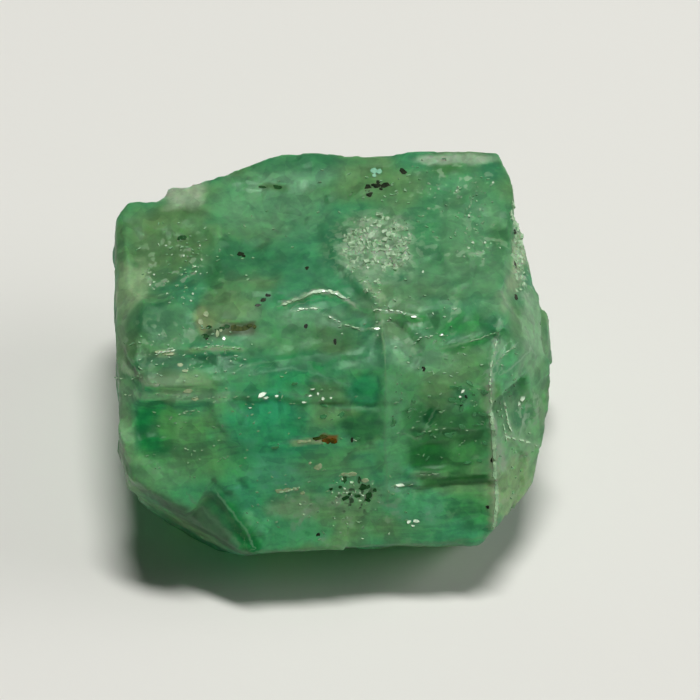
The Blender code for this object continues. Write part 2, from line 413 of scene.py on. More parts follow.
# %% Level growth lines
LINE_ZONES = (
    # name, across, down, half across, half down, strength
    ("left_lines", 175, 372, 80, 46, 1.0),
    ("left_lower_lines", 190, 440, 70, 40, 0.5),
    ("front_lines", 330, 470, 120, 70, 0.4),
    ("foot_lines", 420, 515, 90, 35, 0.5),
)
LINE_PITCH = (0.42, 0.19)
LINE_DEPTH = (0.028, 0.016)
LINE_DROP = (0.78, 1.0)
LINE_WANDER = 0.5
LINE_GAPS = (-0.3, 0.3)
GAP_STRETCH = (0.5, 0.5, 1.5)
LINE_NOISE = (
    # lump size and start of the wander and of the gaps, for each pitch
    ((1.6, 20.0), (0.8, 30.0)),
    ((1.6, 21.0), (0.8, 31.0)),
)
SIDE_WALLS = (0.55, 0.9)
WALL_STRENGTH = 0.7
ZONE_DEPTH = 2.0
ZONE_RIM = (0.5, 1.1)


def zone_share(points, across, down, half_across, half_down):
    """1 in the middle of a zone on the stone, falling to 0 at its rim."""
    spot, normal = seen_at(smooth_tree, across, down)
    along, rising, outward = skin_axes(normal, 0.0)
    offset = points - np.array(spot)
    run = offset @ np.array(along) / (half_across * point_length(along))
    rise = offset @ np.array(rising) / (half_down * point_length(rising))
    depth = offset @ np.array(outward) / ZONE_DEPTH
    return 1.0 - fade(np.sqrt(run * run + rise * rise + depth * depth), *ZONE_RIM)


def widest_share(points, zones, least):
    """At every point the strongest of the zones' weighted shares, and at least the least."""
    strength = least
    for _, across, down, half_across, half_down, weight in zones:
        strength = np.maximum(strength, weight * zone_share(points, across, down, half_across, half_down))
    return strength


def growth_lines(points, normals):
    strength = WALL_STRENGTH * fade(np.abs(normals[:, 1]), *SIDE_WALLS) * (points[:, 1] > 0.0)
    strength = np.maximum(strength, WALL_STRENGTH * fade(np.abs(normals[:, 0]), *SIDE_WALLS))
    strength = widest_share(points, LINE_ZONES, strength)
    total = np.zeros(len(points))
    for pitch, depth, (wander_noise, gap_noise) in zip(LINE_PITCH, LINE_DEPTH, LINE_NOISE):
        wander = LINE_WANDER * pitch * noise_at(points, *wander_noise)
        course = (points[:, 2] + wander) / pitch
        step = course - np.floor(course)
        cut = fade(step, 0.0, LINE_DROP[0]) - fade(step, *LINE_DROP)
        unbroken = fade(noise_at(points * GAP_STRETCH, *gap_noise), *LINE_GAPS)
        total -= depth * cut * strength * unbroken
    return total


height += growth_lines(points, normals)
print("with growth lines", round(float(height.min()), 3))

# %% [markdown]
# ## Ridges and steps
#
# A shell-shaped break leaves curved ridges, and a cleavage that stops short leaves a step. Each ridge is a chain of
# picture points. Skin points near the chain are lifted into a lip, and those on its lower side are let down.

# %% Curved ridges and steps
RIDGES = (
    # name, picture points of the chain, lip, drop
    ("arch_ridge", ((281, 304), (299, 299), (318, 291), (337, 294), (353, 305), (378, 311), (416, 317)), 0.06, 0.05),
    ("arch_echo", ((293, 313), (310, 308), (326, 314), (345, 323), (375, 329)), 0.035, 0.04),
    ("dark_fracture", ((322, 226), (330, 246), (340, 262), (356, 283), (374, 299)), 0.02, 0.07),
    ("right_ridge", ((443, 347), (468, 341), (497, 331)), 0.04, 0.05),
    ("left_shelf", ((158, 352), (178, 349), (208, 348), (236, 348)), 0.05, 0.05),
    ("flank_edge", ((500, 322), (494, 350), (490, 380), (493, 430), (495, 470), (493, 528)), 0.08, 0.05),
    ("middle_seam", ((381, 312), (385, 350), (386, 400), (385, 450), (387, 500)), 0.03, 0.03),
    ("front_brow", ((250, 398), (275, 394), (300, 400), (338, 398), (372, 404)), 0.07, 0.06),
    ("block_top", ((426, 430), (450, 427), (476, 430)), 0.02, 0.05),
    ("block_side", ((418, 440), (424, 430), (436, 408)), 0.02, 0.04),
    ("pale_strip", ((412, 474), (428, 471), (443, 473)), 0.05, 0.06),
    ("long_step", ((418, 486), (450, 481), (494, 478)), 0.03, 0.10),
    ("corner_crease", ((221, 499), (234, 520), (246, 535)), 0.05, 0.05),
)
LIP_WIDTH = 0.13
STEP_REACH = (0.14, 0.9)
FAR_AWAY = 9.0


def chain_stretches(points, spots):
    """For each stretch of a chain: its ends, and every point's offset and distance from it."""
    for start, end in zip(spots, spots[1:]):
        run = end - start
        share = np.clip((points - np.array(start)) @ np.array(run) / run.length_squared, 0.0, 1.0)
        offset = points - (np.array(start) + share[:, None] * np.array(run))
        yield start, end, offset, np.linalg.norm(offset, axis=1)


def ridge_heights(points, chain, lip, drop):
    """A lip along the chain, and a drop on its lower side that fades out away from it."""
    spots = [Vector(seen_at(smooth_tree, *place)[0]) for place in chain]
    best = np.full(len(points), FAR_AWAY)
    change = np.zeros(len(points))
    for _, _, offset, away in chain_stretches(points, spots):
        below = -offset @ np.array(view_up)
        shape = lip * np.exp(-((away / LIP_WIDTH) ** 2))
        shape -= drop * (below > 0.0) * fade(away, 0.0, STEP_REACH[0]) * (1.0 - fade(away, *STEP_REACH))
        closer = away < best
        change = np.where(closer, shape, change)
        best = np.where(closer, away, best)
    return change


for name, chain, lip, drop in RIDGES:
    height += ridge_heights(points, chain, lip, drop)
print("ridges", len(RIDGES), "relief in mm", round(float(height.min()), 3), round(float(height.max()), 3))

# %% [markdown]
# ## Cleavage blocks
#
# Low on the right the crystal came away in little bricks, which left level and upright edges. Each is a slab
# pressed straight in, so its floor stays parallel to the skin around it.

# %% Press the blocks
BLOCKS = (
    # name, across, down, half across, half down, turn, depth
    ("block_left", 413, 416, 11, 9, 8, 0.05),
    ("block_slant", 430, 417, 6, 9, -25, 0.08),
    ("block_deep", 428, 456, 22, 12, 4, 0.07),
    ("block_far", 470, 448, 14, 11, 0, 0.07),
    ("dark_pocket", 364, 393, 17, 18, 0, 0.12),
    ("middle_pocket", 362, 428, 20, 14, 0, 0.06),
    ("left_pocket", 154, 432, 18, 26, 8, 0.10),
    ("frost_pocket", 174, 262, 44, 42, 0, 0.10),
    ("shell_pocket", 264, 338, 34, 18, 0, 0.07),
    ("teal_pocket", 238, 260, 30, 18, 10, 0.10),
    ("upper_pocket", 426, 244, 18, 26, 0, 0.08),
    ("green_pocket", 440, 320, 18, 9, 0, 0.04),
    ("corner_facet", 240, 530, 12, 30, 32, 0.05),
)
BLOCK_RIM = (0.75, 1.15)
BLOCK_RAGGED = 0.3
BLOCK_DEPTH = 1.2
BLOCK_NOISE = ((0.9, 3.0, 1.0), (0.4, 4.0, 0.5))


def block_heights(points, wobble, across, down, half_across, half_down, turn, depth):
    spot, normal = seen_at(smooth_tree, across, down)
    along, rising, outward = skin_axes(normal, turn)
    offset = points - np.array(spot)
    run = np.abs(offset @ np.array(along)) / (half_across * point_length(along))
    rise = np.abs(offset @ np.array(rising)) / (half_down * point_length(rising))
    reach = np.maximum(run, rise) + BLOCK_RAGGED * wobble
    near = np.abs(offset @ np.array(outward)) < BLOCK_DEPTH
    return -depth * (1.0 - fade(reach, *BLOCK_RIM)) * near


wobble = layered_noise(points, BLOCK_NOISE)
for name, *block in BLOCKS:
    height += block_heights(points, wobble, *block)
print("blocks", len(BLOCKS))

# %% [markdown]
# ## Sugary grain and dents
#
# Where the break crushed the stone it is sugary, like broken loaf sugar. There the skin gets a coarse grain. All
# over, small dents and knocks break up the shine. All of it fades out near the rest face, which stays flat, and
# nothing may leave the solid's box.

# %% Grain, dents and the finished skin
GRAIN_ZONES = (
    # name, across, down, half across, half down, strength
    ("sugar_patch", 376, 244, 42, 34, 1.0),
    ("right_crust", 520, 250, 14, 56, 0.9),
    ("upper_right_specks", 452, 190, 30, 22, 0.6),
    ("upper_left_frost", 176, 268, 40, 36, 0.6),
    ("mica_bed", 355, 500, 26, 18, 0.6),
    ("left_rough", 190, 430, 40, 20, 0.4),
)
GRAIN_HEIGHT = 0.06
GRAIN_NOISE = (0.17, 40.0)
GRAIN_EVERYWHERE = 0.04
DENT_SEED = 8
DENT_COUNT = 160
DENT_RADIUS = (0.14, 0.5)
DENT_DEPTH = (0.01, 0.03)
DENT_RIM = (0.3, 1.0)
FLOOR_FADE = (0.05, 0.6)


def grain_heights(points):
    strength = widest_share(points, GRAIN_ZONES, np.full(len(points), GRAIN_EVERYWHERE))
    return GRAIN_HEIGHT * strength * noise_at(points, *GRAIN_NOISE)


def dent_heights(points):
    dice = random.Random(DENT_SEED)
    total = np.zeros(len(points))
    for _ in range(DENT_COUNT):
        centre = points[dice.randrange(len(points))]
        radius = dice.uniform(*DENT_RADIUS)
        depth = dice.uniform(*DENT_DEPTH)
        away = np.linalg.norm(points - centre, axis=1) / radius
        total = np.minimum(total, -depth * (1.0 - fade(away, *DENT_RIM)))
    return total


height += grain_heights(points) + dent_heights(points)
height *= fade(points[:, 2], *FLOOR_FADE)
finished = points + normals * height[:, None]
write_skin(stone, np.clip(finished, np.array(cad_low) / MM, np.array(cad_high) / MM))
stone.data.shade_smooth()
stone_tree = skin_tree(stone)
print("finished relief in mm", round(float(height.min()), 3), round(float(height.max()), 3))

# %% [markdown]
# ## Effects shared by the materials
#
# Two small shader groups serve every material. "Specks" strews small ragged flecks, and "grain relief" gives the
# height of a fine broken skin. They are groups and not copied nodes, because the stone and its small pieces share
# them. All places are in millimetres.

# %% Node helpers and the shader groups
NOISE_ROUGHNESS = 0.6
SPECK_DETAIL = 1.5
SPECK_SHARPNESS = 22.0
GRAIN_DETAIL = 3.0
CHIP_RATE = 2.0


def maths(tree, operation, first, second):
    node = tree.nodes.new("ShaderNodeMath")
    node.operation = operation
    for socket, value in zip(node.inputs, (first, second)):
        if isinstance(value, (int, float)):
            socket.default_value = value
        else:
            tree.links.new(value, socket)
    return node.outputs["Value"]


def new_group(name, inputs, outputs):
    """A shader group with named sockets: inputs are (name, kind, default), outputs are (name, kind)."""
    group = bpy.data.node_groups.new(name, "ShaderNodeTree")
    for label, kind, default in inputs:
        socket = group.interface.new_socket(label, in_out="INPUT", socket_type="NodeSocket" + kind)
        if default is not None:
            socket.default_value = default
    for label, kind in outputs:
        group.interface.new_socket(label, in_out="OUTPUT", socket_type="NodeSocket" + kind)
    return group, group.nodes.new("NodeGroupInput"), group.nodes.new("NodeGroupOutput")


def use_group(tree, name, **values):
    node = tree.nodes.new("ShaderNodeGroup")
    node.node_tree = bpy.data.node_groups[name]
    for label, value in values.items():
        socket = node.inputs[label.replace("_", " ")]
        if isinstance(value, bpy.types.NodeSocket):
            tree.links.new(value, socket)
        else:
            socket.default_value = value
    return node


def specks_group():
    group, source, result = new_group(
        "specks", (("Place", "Vector", None), ("Scale", "Float", 3.0), ("Level", "Float", 0.6)),
        (("Mask", "Float"),))
    spots = add_node(group, "TexNoise", Detail=SPECK_DETAIL, Roughness=NOISE_ROUGHNESS)
    group.links.new(source.outputs["Place"], spots.inputs["Vector"])
    group.links.new(source.outputs["Scale"], spots.inputs["Scale"])
    above = maths(group, "SUBTRACT", spots.outputs["Fac"], source.outputs["Level"])
    clipped = add_node(group, "Math", operation="MULTIPLY", use_clamp=True)
    clipped.inputs[1].default_value = SPECK_SHARPNESS
    group.links.new(above, clipped.inputs[0])
    group.links.new(clipped.outputs["Value"], result.inputs["Mask"])


def grain_group():
    group, source, result = new_group(
        "grain relief", (("Place", "Vector", None), ("Scale", "Float", 3.0), ("Chips", "Float", 0.5)),
        (("Height", "Float"),))
    fine = add_node(group, "TexNoise", Detail=GRAIN_DETAIL, Roughness=NOISE_ROUGHNESS)
    group.links.new(source.outputs["Place"], fine.inputs["Vector"])
    group.links.new(source.outputs["Scale"], fine.inputs["Scale"])
    chip_scale = maths(group, "MULTIPLY", CHIP_RATE, source.outputs["Scale"])
    chips = add_node(group, "TexVoronoi")
    group.links.new(source.outputs["Place"], chips.inputs["Vector"])
    group.links.new(chip_scale, chips.inputs["Scale"])
    share = maths(group, "MULTIPLY", chips.outputs["Distance"], source.outputs["Chips"])
    group.links.new(maths(group, "ADD", fine.outputs["Fac"], share), result.inputs["Height"])


for build in (specks_group, grain_group):
    build()
print("groups", [group.name for group in bpy.data.node_groups])

# %% [markdown]
# ## The green body
#
# Emerald is beryl coloured by a little chromium, and a rough one is cloudy: part of the light goes through and
# part comes back from veils just under the skin. So the Principled shader transmits most of the light, bends it as
# beryl does, and the solid absorbs red faster than green. The colours below are written as they are seen on the
# finished stone, from 0 to 255. The body gives back only part of the light, so each is made brighter by that much.

# %% Colours of the stone
SEEN_TO_BODY = (2.64, 2.46, 2.62)
BRIGHTEST = 0.95
TEAL = (58, 130, 88)
LEAF = (84, 126, 82)
PLAIN = (70, 122, 82)


def linear_parts(seen):
    """Linear parts of a colour that is written as it is seen, each part from 0 to 255."""
    return [((part / 255 + 0.055) / 1.055) ** 2.4 for part in seen]


def body_colour(seen):
    """Body colour that shows as the seen colour; a bright one is dimmed as a whole, so it keeps its hue."""
    body = [value * gain for value, gain in zip(linear_parts(seen), SEEN_TO_BODY)]
    cap = min(1.0, BRIGHTEST / max(body))
    return tuple(value * cap for value in body) + (1.0,)


print("plain body colour", [round(value, 3) for value in body_colour(PLAIN)])

# %% [markdown]
# ## Clouds, bands, stains and cracks
#
# The body is mottled from leaf green to teal by two sizes of noise. On top come the marks that make this stone
# this stone: frosty and sugary patches, tan and brown iron stains, deep clear green windows, the pale flank, the
# dark cleavage blocks and the white healed cracks. Some are painted light and shade instead: a painted highlight
# along the curved ridge, a glint streak low on the front, and painted shade on the facet under the lower left
# corner. Each has a name, its place, half sizes and turn, its shape, how soft its edge is, its colour and its
# strength. A mark is a short body in depth too, so it shows only near its own piece of skin. They are colour only,
# so nothing is raised for them here.

# %% The marks
PALE_GREEN = (98, 143, 102)
DEEP_GREEN = (36, 98, 50)
OLIVE = (66, 106, 58)
TAN = (126, 142, 92)
BROWN = (62, 72, 42)
RUST = (92, 74, 34)
VEIL_AND_HIGHLIGHT = (132, 168, 136)
WHITE = (176, 204, 170)

CLOUDS = (
    # name, across, down, half across, half down, turn, edge, colour, strength
    ("upper_left_leaf", 168, 240, 64, 46, 0, 0.5, (84, 120, 74), 0.85),
    ("left_leaf", 140, 320, 34, 60, 0, 0.5, (84, 126, 80), 0.45),
    ("upper_pale", 270, 212, 66, 30, 8, 0.5, (86, 136, 98), 0.8),
    ("top_pale", 300, 178, 40, 14, 8, 0.5, (92, 142, 108), 0.7),
    ("top_edge_deep", 300, 163, 60, 8, 4, 0.5, (48, 112, 72), 0.7),
    ("upper_deep", 240, 258, 34, 18, 0, 0.5, (44, 114, 74), 0.85),
    ("upper_deep_tail", 214, 275, 8, 14, 0, 0.6, DEEP_GREEN, 0.6),
    ("dark_smudge", 179, 237, 16, 7, 0, 0.6, OLIVE, 0.9),
    ("top_smudge", 273, 187, 14, 4, -8, 0.5, OLIVE, 0.95),
    ("corner_smudge", 190, 212, 14, 6, 0, 0.6, OLIVE, 0.6),
    ("back_lump", 183, 192, 22, 14, 0, 0.5, (138, 162, 132), 0.95),
    ("pale_bubble", 129, 288, 18, 27, 0, 0.25, (122, 152, 112), 0.95),
    ("left_edge_pale", 120, 350, 8, 62, 0, 0.5, (108, 146, 104), 0.85),
    ("left_deep", 150, 320, 24, 18, 0, 0.5, (46, 108, 70), 0.8),
    ("middle_leaf", 330, 338, 26, 14, 0, 0.6, OLIVE, 0.6),
    ("middle_pale", 286, 344, 36, 22, 0, 0.5, (68, 130, 80), 0.8),
    ("ridge_bowl", 318, 304, 34, 10, 0, 0.5, (60, 132, 92), 0.8),
    ("below_ridge", 310, 318, 40, 9, 0, 0.5, (92, 142, 102), 0.6),
    ("teal_wedge", 296, 365, 56, 14, -4, 0.4, (42, 122, 76), 0.9),
    ("teal_middle", 340, 250, 16, 26, -20, 0.5, (50, 122, 80), 0.8),
    ("under_sugar", 388, 306, 40, 14, 0, 0.6, PALE_GREEN, 0.6),
    ("sugar_bed", 376, 246, 40, 36, 0, 0.25, (112, 150, 114), 0.9),
    ("upper_right_pale", 456, 250, 52, 56, 0, 0.5, (88, 136, 96), 0.8),
    ("upper_right_deep", 428, 232, 16, 30, 0, 0.5, (56, 124, 80), 0.75),
    ("olive_top", 450, 168, 16, 7, 0, 0.5, (62, 112, 60), 0.8),
    ("corner_deep", 492, 168, 10, 12, 0, 0.5, (44, 116, 78), 0.85),
    ("top_right_sliver", 455, 158, 40, 5, 0, 0.4, (142, 168, 140), 0.85),
    ("top_middle_leaf", 372, 186, 40, 16, 0, 0.6, (84, 128, 78), 0.7),
    ("right_crust", 520, 250, 10, 52, -14, 0.5, (134, 156, 122), 0.85),
    ("crust_gap", 500, 238, 10, 14, 0, 0.5, (58, 112, 66), 0.7),
    ("green_band", 446, 320, 34, 12, 0, 0.5, (42, 114, 60), 0.85),
    ("ridge_shade", 462, 345, 32, 5, 10, 0.4, (38, 112, 58), 0.9),
    ("pale_plate", 422, 358, 34, 15, -6, 0.35, (92, 146, 104), 0.85),
    ("right_mid_leaf", 470, 366, 26, 18, 0, 0.6, (76, 126, 74), 0.6),
    ("dark_window", 364, 392, 19, 18, 0, 0.4, (30, 110, 70), 0.95),
    ("dark_texture", 362, 427, 24, 15, 0, 0.3, (34, 96, 56), 0.85),
    ("below_brown_leaf", 340, 458, 40, 14, 0, 0.6, (70, 122, 76), 0.6),
    ("small_teal_window", 364, 462, 14, 8, 0, 0.4, (34, 114, 82), 0.9),
    ("left_window", 154, 430, 21, 31, 0, 0.35, (18, 104, 56), 0.95),
    ("left_bubble", 186, 430, 26, 18, 0, 0.5, (76, 126, 76), 0.75),
    ("left_foot_pale", 150, 472, 34, 16, -14, 0.5, (84, 136, 92), 0.75),
    ("left_wall_pale", 125, 435, 8, 46, 4, 0.5, (104, 146, 104), 0.9),
    ("teal_heart", 262, 440, 40, 56, -18, 0.5, (38, 136, 90), 0.85),
    ("teal_glow", 276, 474, 26, 16, -8, 0.5, (76, 164, 116), 0.95),
    ("teal_foot", 285, 530, 40, 18, 0, 0.5, (66, 148, 96), 0.9),
    ("corner_window", 238, 528, 10, 34, 32, 0.3, (16, 104, 46), 0.95),
    ("corner_shade", 214, 522, 18, 26, 40, 0.3, (44, 104, 64), 0.92),
    # Painted shade: the facet under the lower left corner is coloured as dark as the shadow beside it.
    ("under_facet_painted_shade", 192, 518, 66, 13, -34, 0.25, (60, 92, 66), 0.96),
    ("corner_light", 246, 496, 5, 26, 34, 0.5, (64, 148, 104), 0.7),
    ("left_olive", 222, 462, 30, 18, -10, 0.6, (58, 112, 66), 0.6),
    ("cream_bed", 292, 510, 20, 9, 0, 0.5, (112, 152, 110), 0.7),
    ("mica_bed", 354, 498, 26, 16, 0, 0.5, (86, 128, 88), 0.85),
    ("foot_leaf", 340, 470, 50, 12, 0, 0.6, (78, 130, 84), 0.6),
    ("low_right_teal", 420, 508, 36, 16, 0, 0.4, (62, 136, 92), 0.85),
    ("low_right_glow", 434, 512, 9, 14, 0, 0.5, (82, 160, 110), 0.8),
    ("low_right_deep", 470, 510, 24, 16, 0, 0.5, (50, 116, 68), 0.8),
    ("right_block_deep", 448, 442, 48, 28, 0, 0.4, (50, 110, 60), 0.85),
    ("right_block_heart", 426, 456, 22, 12, 6, 0.4, (30, 96, 44), 0.85),
    ("seam_side_pale", 395, 430, 12, 60, 0, 0.5, (78, 138, 92), 0.7),
    ("flank_pale", 518, 450, 24, 78, -4, 0.3, (94, 142, 98), 0.92),
    ("flank_top_glass", 516, 372, 20, 30, 0, 0.5, (70, 134, 92), 0.8),
    ("flank_shade", 520, 416, 10, 10, 0, 0.35, (52, 116, 74), 0.85),
    ("flank_yellow", 514, 490, 22, 32, 0, 0.4, (108, 144, 96), 0.9),
    ("lobe_pale", 534, 334, 20, 40, -10, 0.2, (104, 148, 108), 0.95),
    ("tan_stain", 204, 319, 10, 13, 0, 0.35, TAN, 0.95),
    ("tan_wash", 226, 312, 26, 12, 0, 0.6, (96, 138, 84), 0.6),
    ("band_tan", 186, 384, 24, 15, 0, 0.4, (108, 140, 94), 0.75),
)
SLABS = (
    ("brown_streak", 238, 329, 17, 6, 4, 0.3, BROWN, 0.95),
    ("brown_streak_left", 214, 333, 9, 4, 0, 0.3, (52, 78, 46), 0.9),
    ("rust_streak", 329, 438, 9, 3.5, -6, 0.25, RUST, 0.97),
    ("cream_strip", 306, 442, 14, 3, 6, 0.35, (124, 158, 112), 0.85),
    ("shelf_cream", 166, 353, 8, 2.5, 6, 0.4, (150, 178, 134), 0.9),
    ("shelf_line", 212, 349, 26, 2, 0, 0.4, (124, 160, 114), 0.85),
    ("band_dark_upper", 178, 362, 54, 5, 2, 0.35, (44, 104, 66), 0.85),
    ("band_dark_lower", 166, 388, 46, 3, 0, 0.4, (56, 112, 74), 0.45),
    ("band_dark_block", 224, 363, 9, 10, 0, 0.25, (42, 104, 70), 0.8),
    ("band_pale_upper", 140, 377, 28, 3.5, 0, 0.4, (124, 158, 120), 0.9),
    ("band_pale_lower", 170, 396, 60, 3.5, 0, 0.4, (106, 152, 110), 0.8),
    ("band_deep", 176, 406, 40, 3, 2, 0.4, (44, 110, 70), 0.4),
    ("block_upper", 413, 416, 11, 9, 8, 0.2, (52, 112, 66), 0.9),
    ("block_slant", 430, 417, 5, 9, -25, 0.2, (24, 92, 46), 0.97),
    ("long_dark_band", 456, 481, 38, 4, 3, 0.3, (36, 92, 44), 0.85),
    ("long_dark_line", 470, 477, 24, 1.6, 3, 0.4, (26, 76, 32), 0.9),
    ("pale_strip", 428, 474, 14, 3, 0, 0.4, (104, 152, 108), 0.8),
    ("glint_streak", 400, 486, 18, 5, 2, 0.5, (92, 152, 112), 0.8),
    ("sliver_step", 356, 408, 26, 1.6, -6, 0.4, (84, 140, 100), 0.7),
    ("olive_step", 440, 398, 30, 2, -8, 0.4, (64, 118, 72), 0.6),
)
LINES = (
    # name, picture points of the chain, half width, colour, strength
    # Painted highlight: the first four lines are the shine along the curved ridge, painted pale.
    ("arch_painted_highlight", ((284, 304), (299, 299), (318, 291), (337, 294), (353, 305)), 2.4, WHITE, 0.9),
    ("arch_tail_painted_highlight", ((378, 311), (398, 312), (416, 317)), 1.3, (140, 172, 138), 0.8),
    ("arch_echo_painted_highlight", ((297, 310), (308, 308), (318, 308)), 1.5, VEIL_AND_HIGHLIGHT, 0.7),
    ("lower_arch_painted_highlight", ((328, 316), (342, 324), (360, 329), (377, 329)), 1.3, VEIL_AND_HIGHLIGHT, 0.6),
    ("fracture_dark", ((322, 226), (330, 246), (340, 262), (356, 283), (372, 300)), 3.2, (44, 110, 72), 0.5),
    ("frost_wedge", ((362, 282), (372, 290), (382, 297)), 3.2, (140, 170, 132), 0.85),
    ("seam_light", ((380, 314), (384, 345), (386, 380)), 1.2, (118, 158, 114), 0.65),
    ("seam_low", ((386, 380), (385, 430), (386, 470), (388, 505)), 1.2, (98, 150, 108), 0.6),
    ("ridge_light", ((444, 348), (468, 342), (497, 332)), 1.2, (126, 168, 128), 0.75),
    ("flank_vein_top", ((500, 324), (496, 345), (491, 366), (490, 382)), 3.2, (144, 178, 146), 0.85),
    ("flank_vein_mid", ((490, 382), (491, 405), (494, 430), (500, 452), (504, 466)), 4.2, (150, 182, 148), 0.95),
    ("flank_vein_low", ((494, 430), (494, 470), (497, 500), (493, 526)), 5.0, (146, 174, 134), 0.97),
    ("flank_crack_1", ((515, 345), (503, 356), (485, 372)), 1.2, VEIL_AND_HIGHLIGHT, 0.8),
    ("flank_crack_2", ((502, 341), (500, 356), (497, 370)), 1.2, VEIL_AND_HIGHLIGHT, 0.7),
    ("flank_crack_3", ((531, 348), (518, 362), (504, 373)), 1.1, (140, 174, 144), 0.75),
    ("flank_crack_4", ((505, 437), (520, 440), (540, 447)), 2.6, (126, 164, 126), 0.85),
    ("flank_crack_5", ((504, 400), (508, 420), (514, 436)), 1.5, VEIL_AND_HIGHLIGHT, 0.75),
    ("flank_crack_6", ((528, 405), (524, 420), (520, 434)), 1.4, VEIL_AND_HIGHLIGHT, 0.7),
    ("flank_crack_7", ((502, 502), (516, 494), (539, 486)), 1.8, (134, 164, 124), 0.8),
    ("block_top_light", ((424, 430), (450, 428), (476, 430)), 1.3, (112, 158, 118), 0.5),
    ("block_side_light", ((418, 440), (424, 431), (437, 408)), 1.3, (124, 166, 128), 0.5),
    ("block_low_light", ((405, 434), (418, 440)), 1.1, (124, 166, 128), 0.5),
    ("corner_line", ((218, 494), (232, 512), (246, 530), (253, 545)), 1.0, (112, 166, 128), 0.8),
    ("corner_rim", ((190, 497), (206, 512), (222, 528), (238, 543), (250, 555)), 1.6, (96, 140, 104), 0.7),
    ("foot_rim_light", ((255, 555), (320, 553), (400, 547), (450, 542), (486, 536)), 1.6, (104, 150, 112), 0.75),
    ("teal_vein", ((262, 372), (290, 368), (318, 374), (344, 384)), 1.0, (96, 156, 122), 0.5),
    ("left_vein", ((146, 352), (142, 372), (144, 396)), 1.6, (104, 146, 106), 0.5),
    ("fine_slant", ((225, 376), (246, 366), (268, 362)), 1.0, (92, 148, 108), 0.5),
)
SPECK_ZONES = (
    # name, kind, across, down, half across, half down, strength
    ("sugar_fine", "fine", 376, 244, 42, 34, 0.75),
    ("sugar_coarse", "coarse", 380, 246, 38, 30, 0.85),
    ("crust_fine", "fine", 519, 252, 12, 52, 0.8),
    ("upper_right", "coarse", 455, 192, 40, 26, 0.7),
    ("right", "coarse", 470, 246, 40, 24, 0.6),
    ("frost", "coarse", 178, 268, 40, 34, 0.7),
    ("left", "coarse", 170, 345, 60, 24, 0.45),
    ("mica_dust", "dark", 356, 500, 24, 15, 0.85),
    ("mica_halo", "coarse", 354, 494, 30, 20, 0.6),
    ("flank", "fine", 528, 408, 14, 16, 0.7),
    ("middle", "coarse", 420, 325, 60, 30, 0.45),
    ("low", "coarse", 350, 520, 90, 30, 0.4),
)
SPECK_KINDS = (
    # flecks per mm, level that the noise must pass, colour: fine bright, coarse bright, dark
    (4.6, 0.52, (150, 182, 150)),
    (2.6, 0.60, (160, 190, 158)),
    (3.4, 0.58, (34, 52, 34)),
)
print("marks", len(CLOUDS), len(SLABS), len(LINES), len(SPECK_ZONES))

# %% [markdown]
# ## Laying the marks on the skin
#
# Each mark is worked out once at every skin point, because a shader that measured over a hundred marks at every
# ray would be slow. A soft noise mottles the body first. Then every cloud and slab lays its colour over what is
# below, with its rim shaken by noise, and the front slope gets painted light and faces that look down painted
# shade. The result is one colour per skin point. Thin cracks and painted highlight lines would blur there, so for
# them each point keeps how far it is from the nearest line, with a sign for its side, and the shader draws the
# sharp line.

# %% Colours at the skin's points
MARK_DEPTH = 0.9
SLAB_RAGGED = 0.22
CLOUD_RAGGED = 0.4
SLAB_NOISE = (0.22, 62.0)
CLOUD_NOISE = ((0.7, 60.0, 1.0), (0.3, 61.0, 0.6))
MOTTLE_NOISE = ((1.9, 50.0, 1.0), (0.8, 51.0, 0.5))
GLOSS_NOISE = (0.6, 70.0)
SOFT_SPAN = (-0.5, 0.5)
GLOSS = (0.38, 0.56)
STRIPES_EVERYWHERE = 0.12
CRACK_AND_HIGHLIGHT_STRENGTH = 0.92
CRACK_AND_HIGHLIGHT_ENDS = (0.15, 0.3)
SIDE_SPAN = 20.0
SPECK_RIM = (0.5, 1.5)
# Painted light and shade: the front slope's colour is made brighter, and faces that look down are made darker.
PAINTED_SLOPE_LIGHT = 1.52
PAINTED_UNDER_SHADE = 0.6
PAINTED_SHADE_FACING = (0.02, 0.35)
PAINTED_LIGHT_FACING = (0.35, 0.7)


def marked_reach(points, kind, across, down, half_across, half_down, turn):
    """How far each point is from a mark's middle, in shares of its half sizes, so its rim is at 1."""
    spot, _ = seen_at(stone_tree, across, down)
    _, flat_normal = seen_at(smooth_tree, across, down)
    axes = skin_axes(flat_normal, turn)
    reach = (half_across * point_length(axes[0]), half_down * point_length(axes[1]), MARK_DEPTH)
    own = (points - np.array(spot)) @ (np.array(axes) / np.array(reach)[:, None]).T
    return np.abs(own).max(axis=1) if kind == "slab" else np.linalg.norm(own, axis=1)


def lay_over(colours, share, seen_colour):
    tint = np.array(body_colour(seen_colour)[:3])
    return colours + share[:, None] * (tint - colours)


def mottled(points):
    broad = fade(layered_noise(points, MOTTLE_NOISE), *SOFT_SPAN)[:, None]
    return (1.0 - broad) * np.array(body_colour(TEAL)[:3]) + broad * np.array(body_colour(LEAF)[:3])


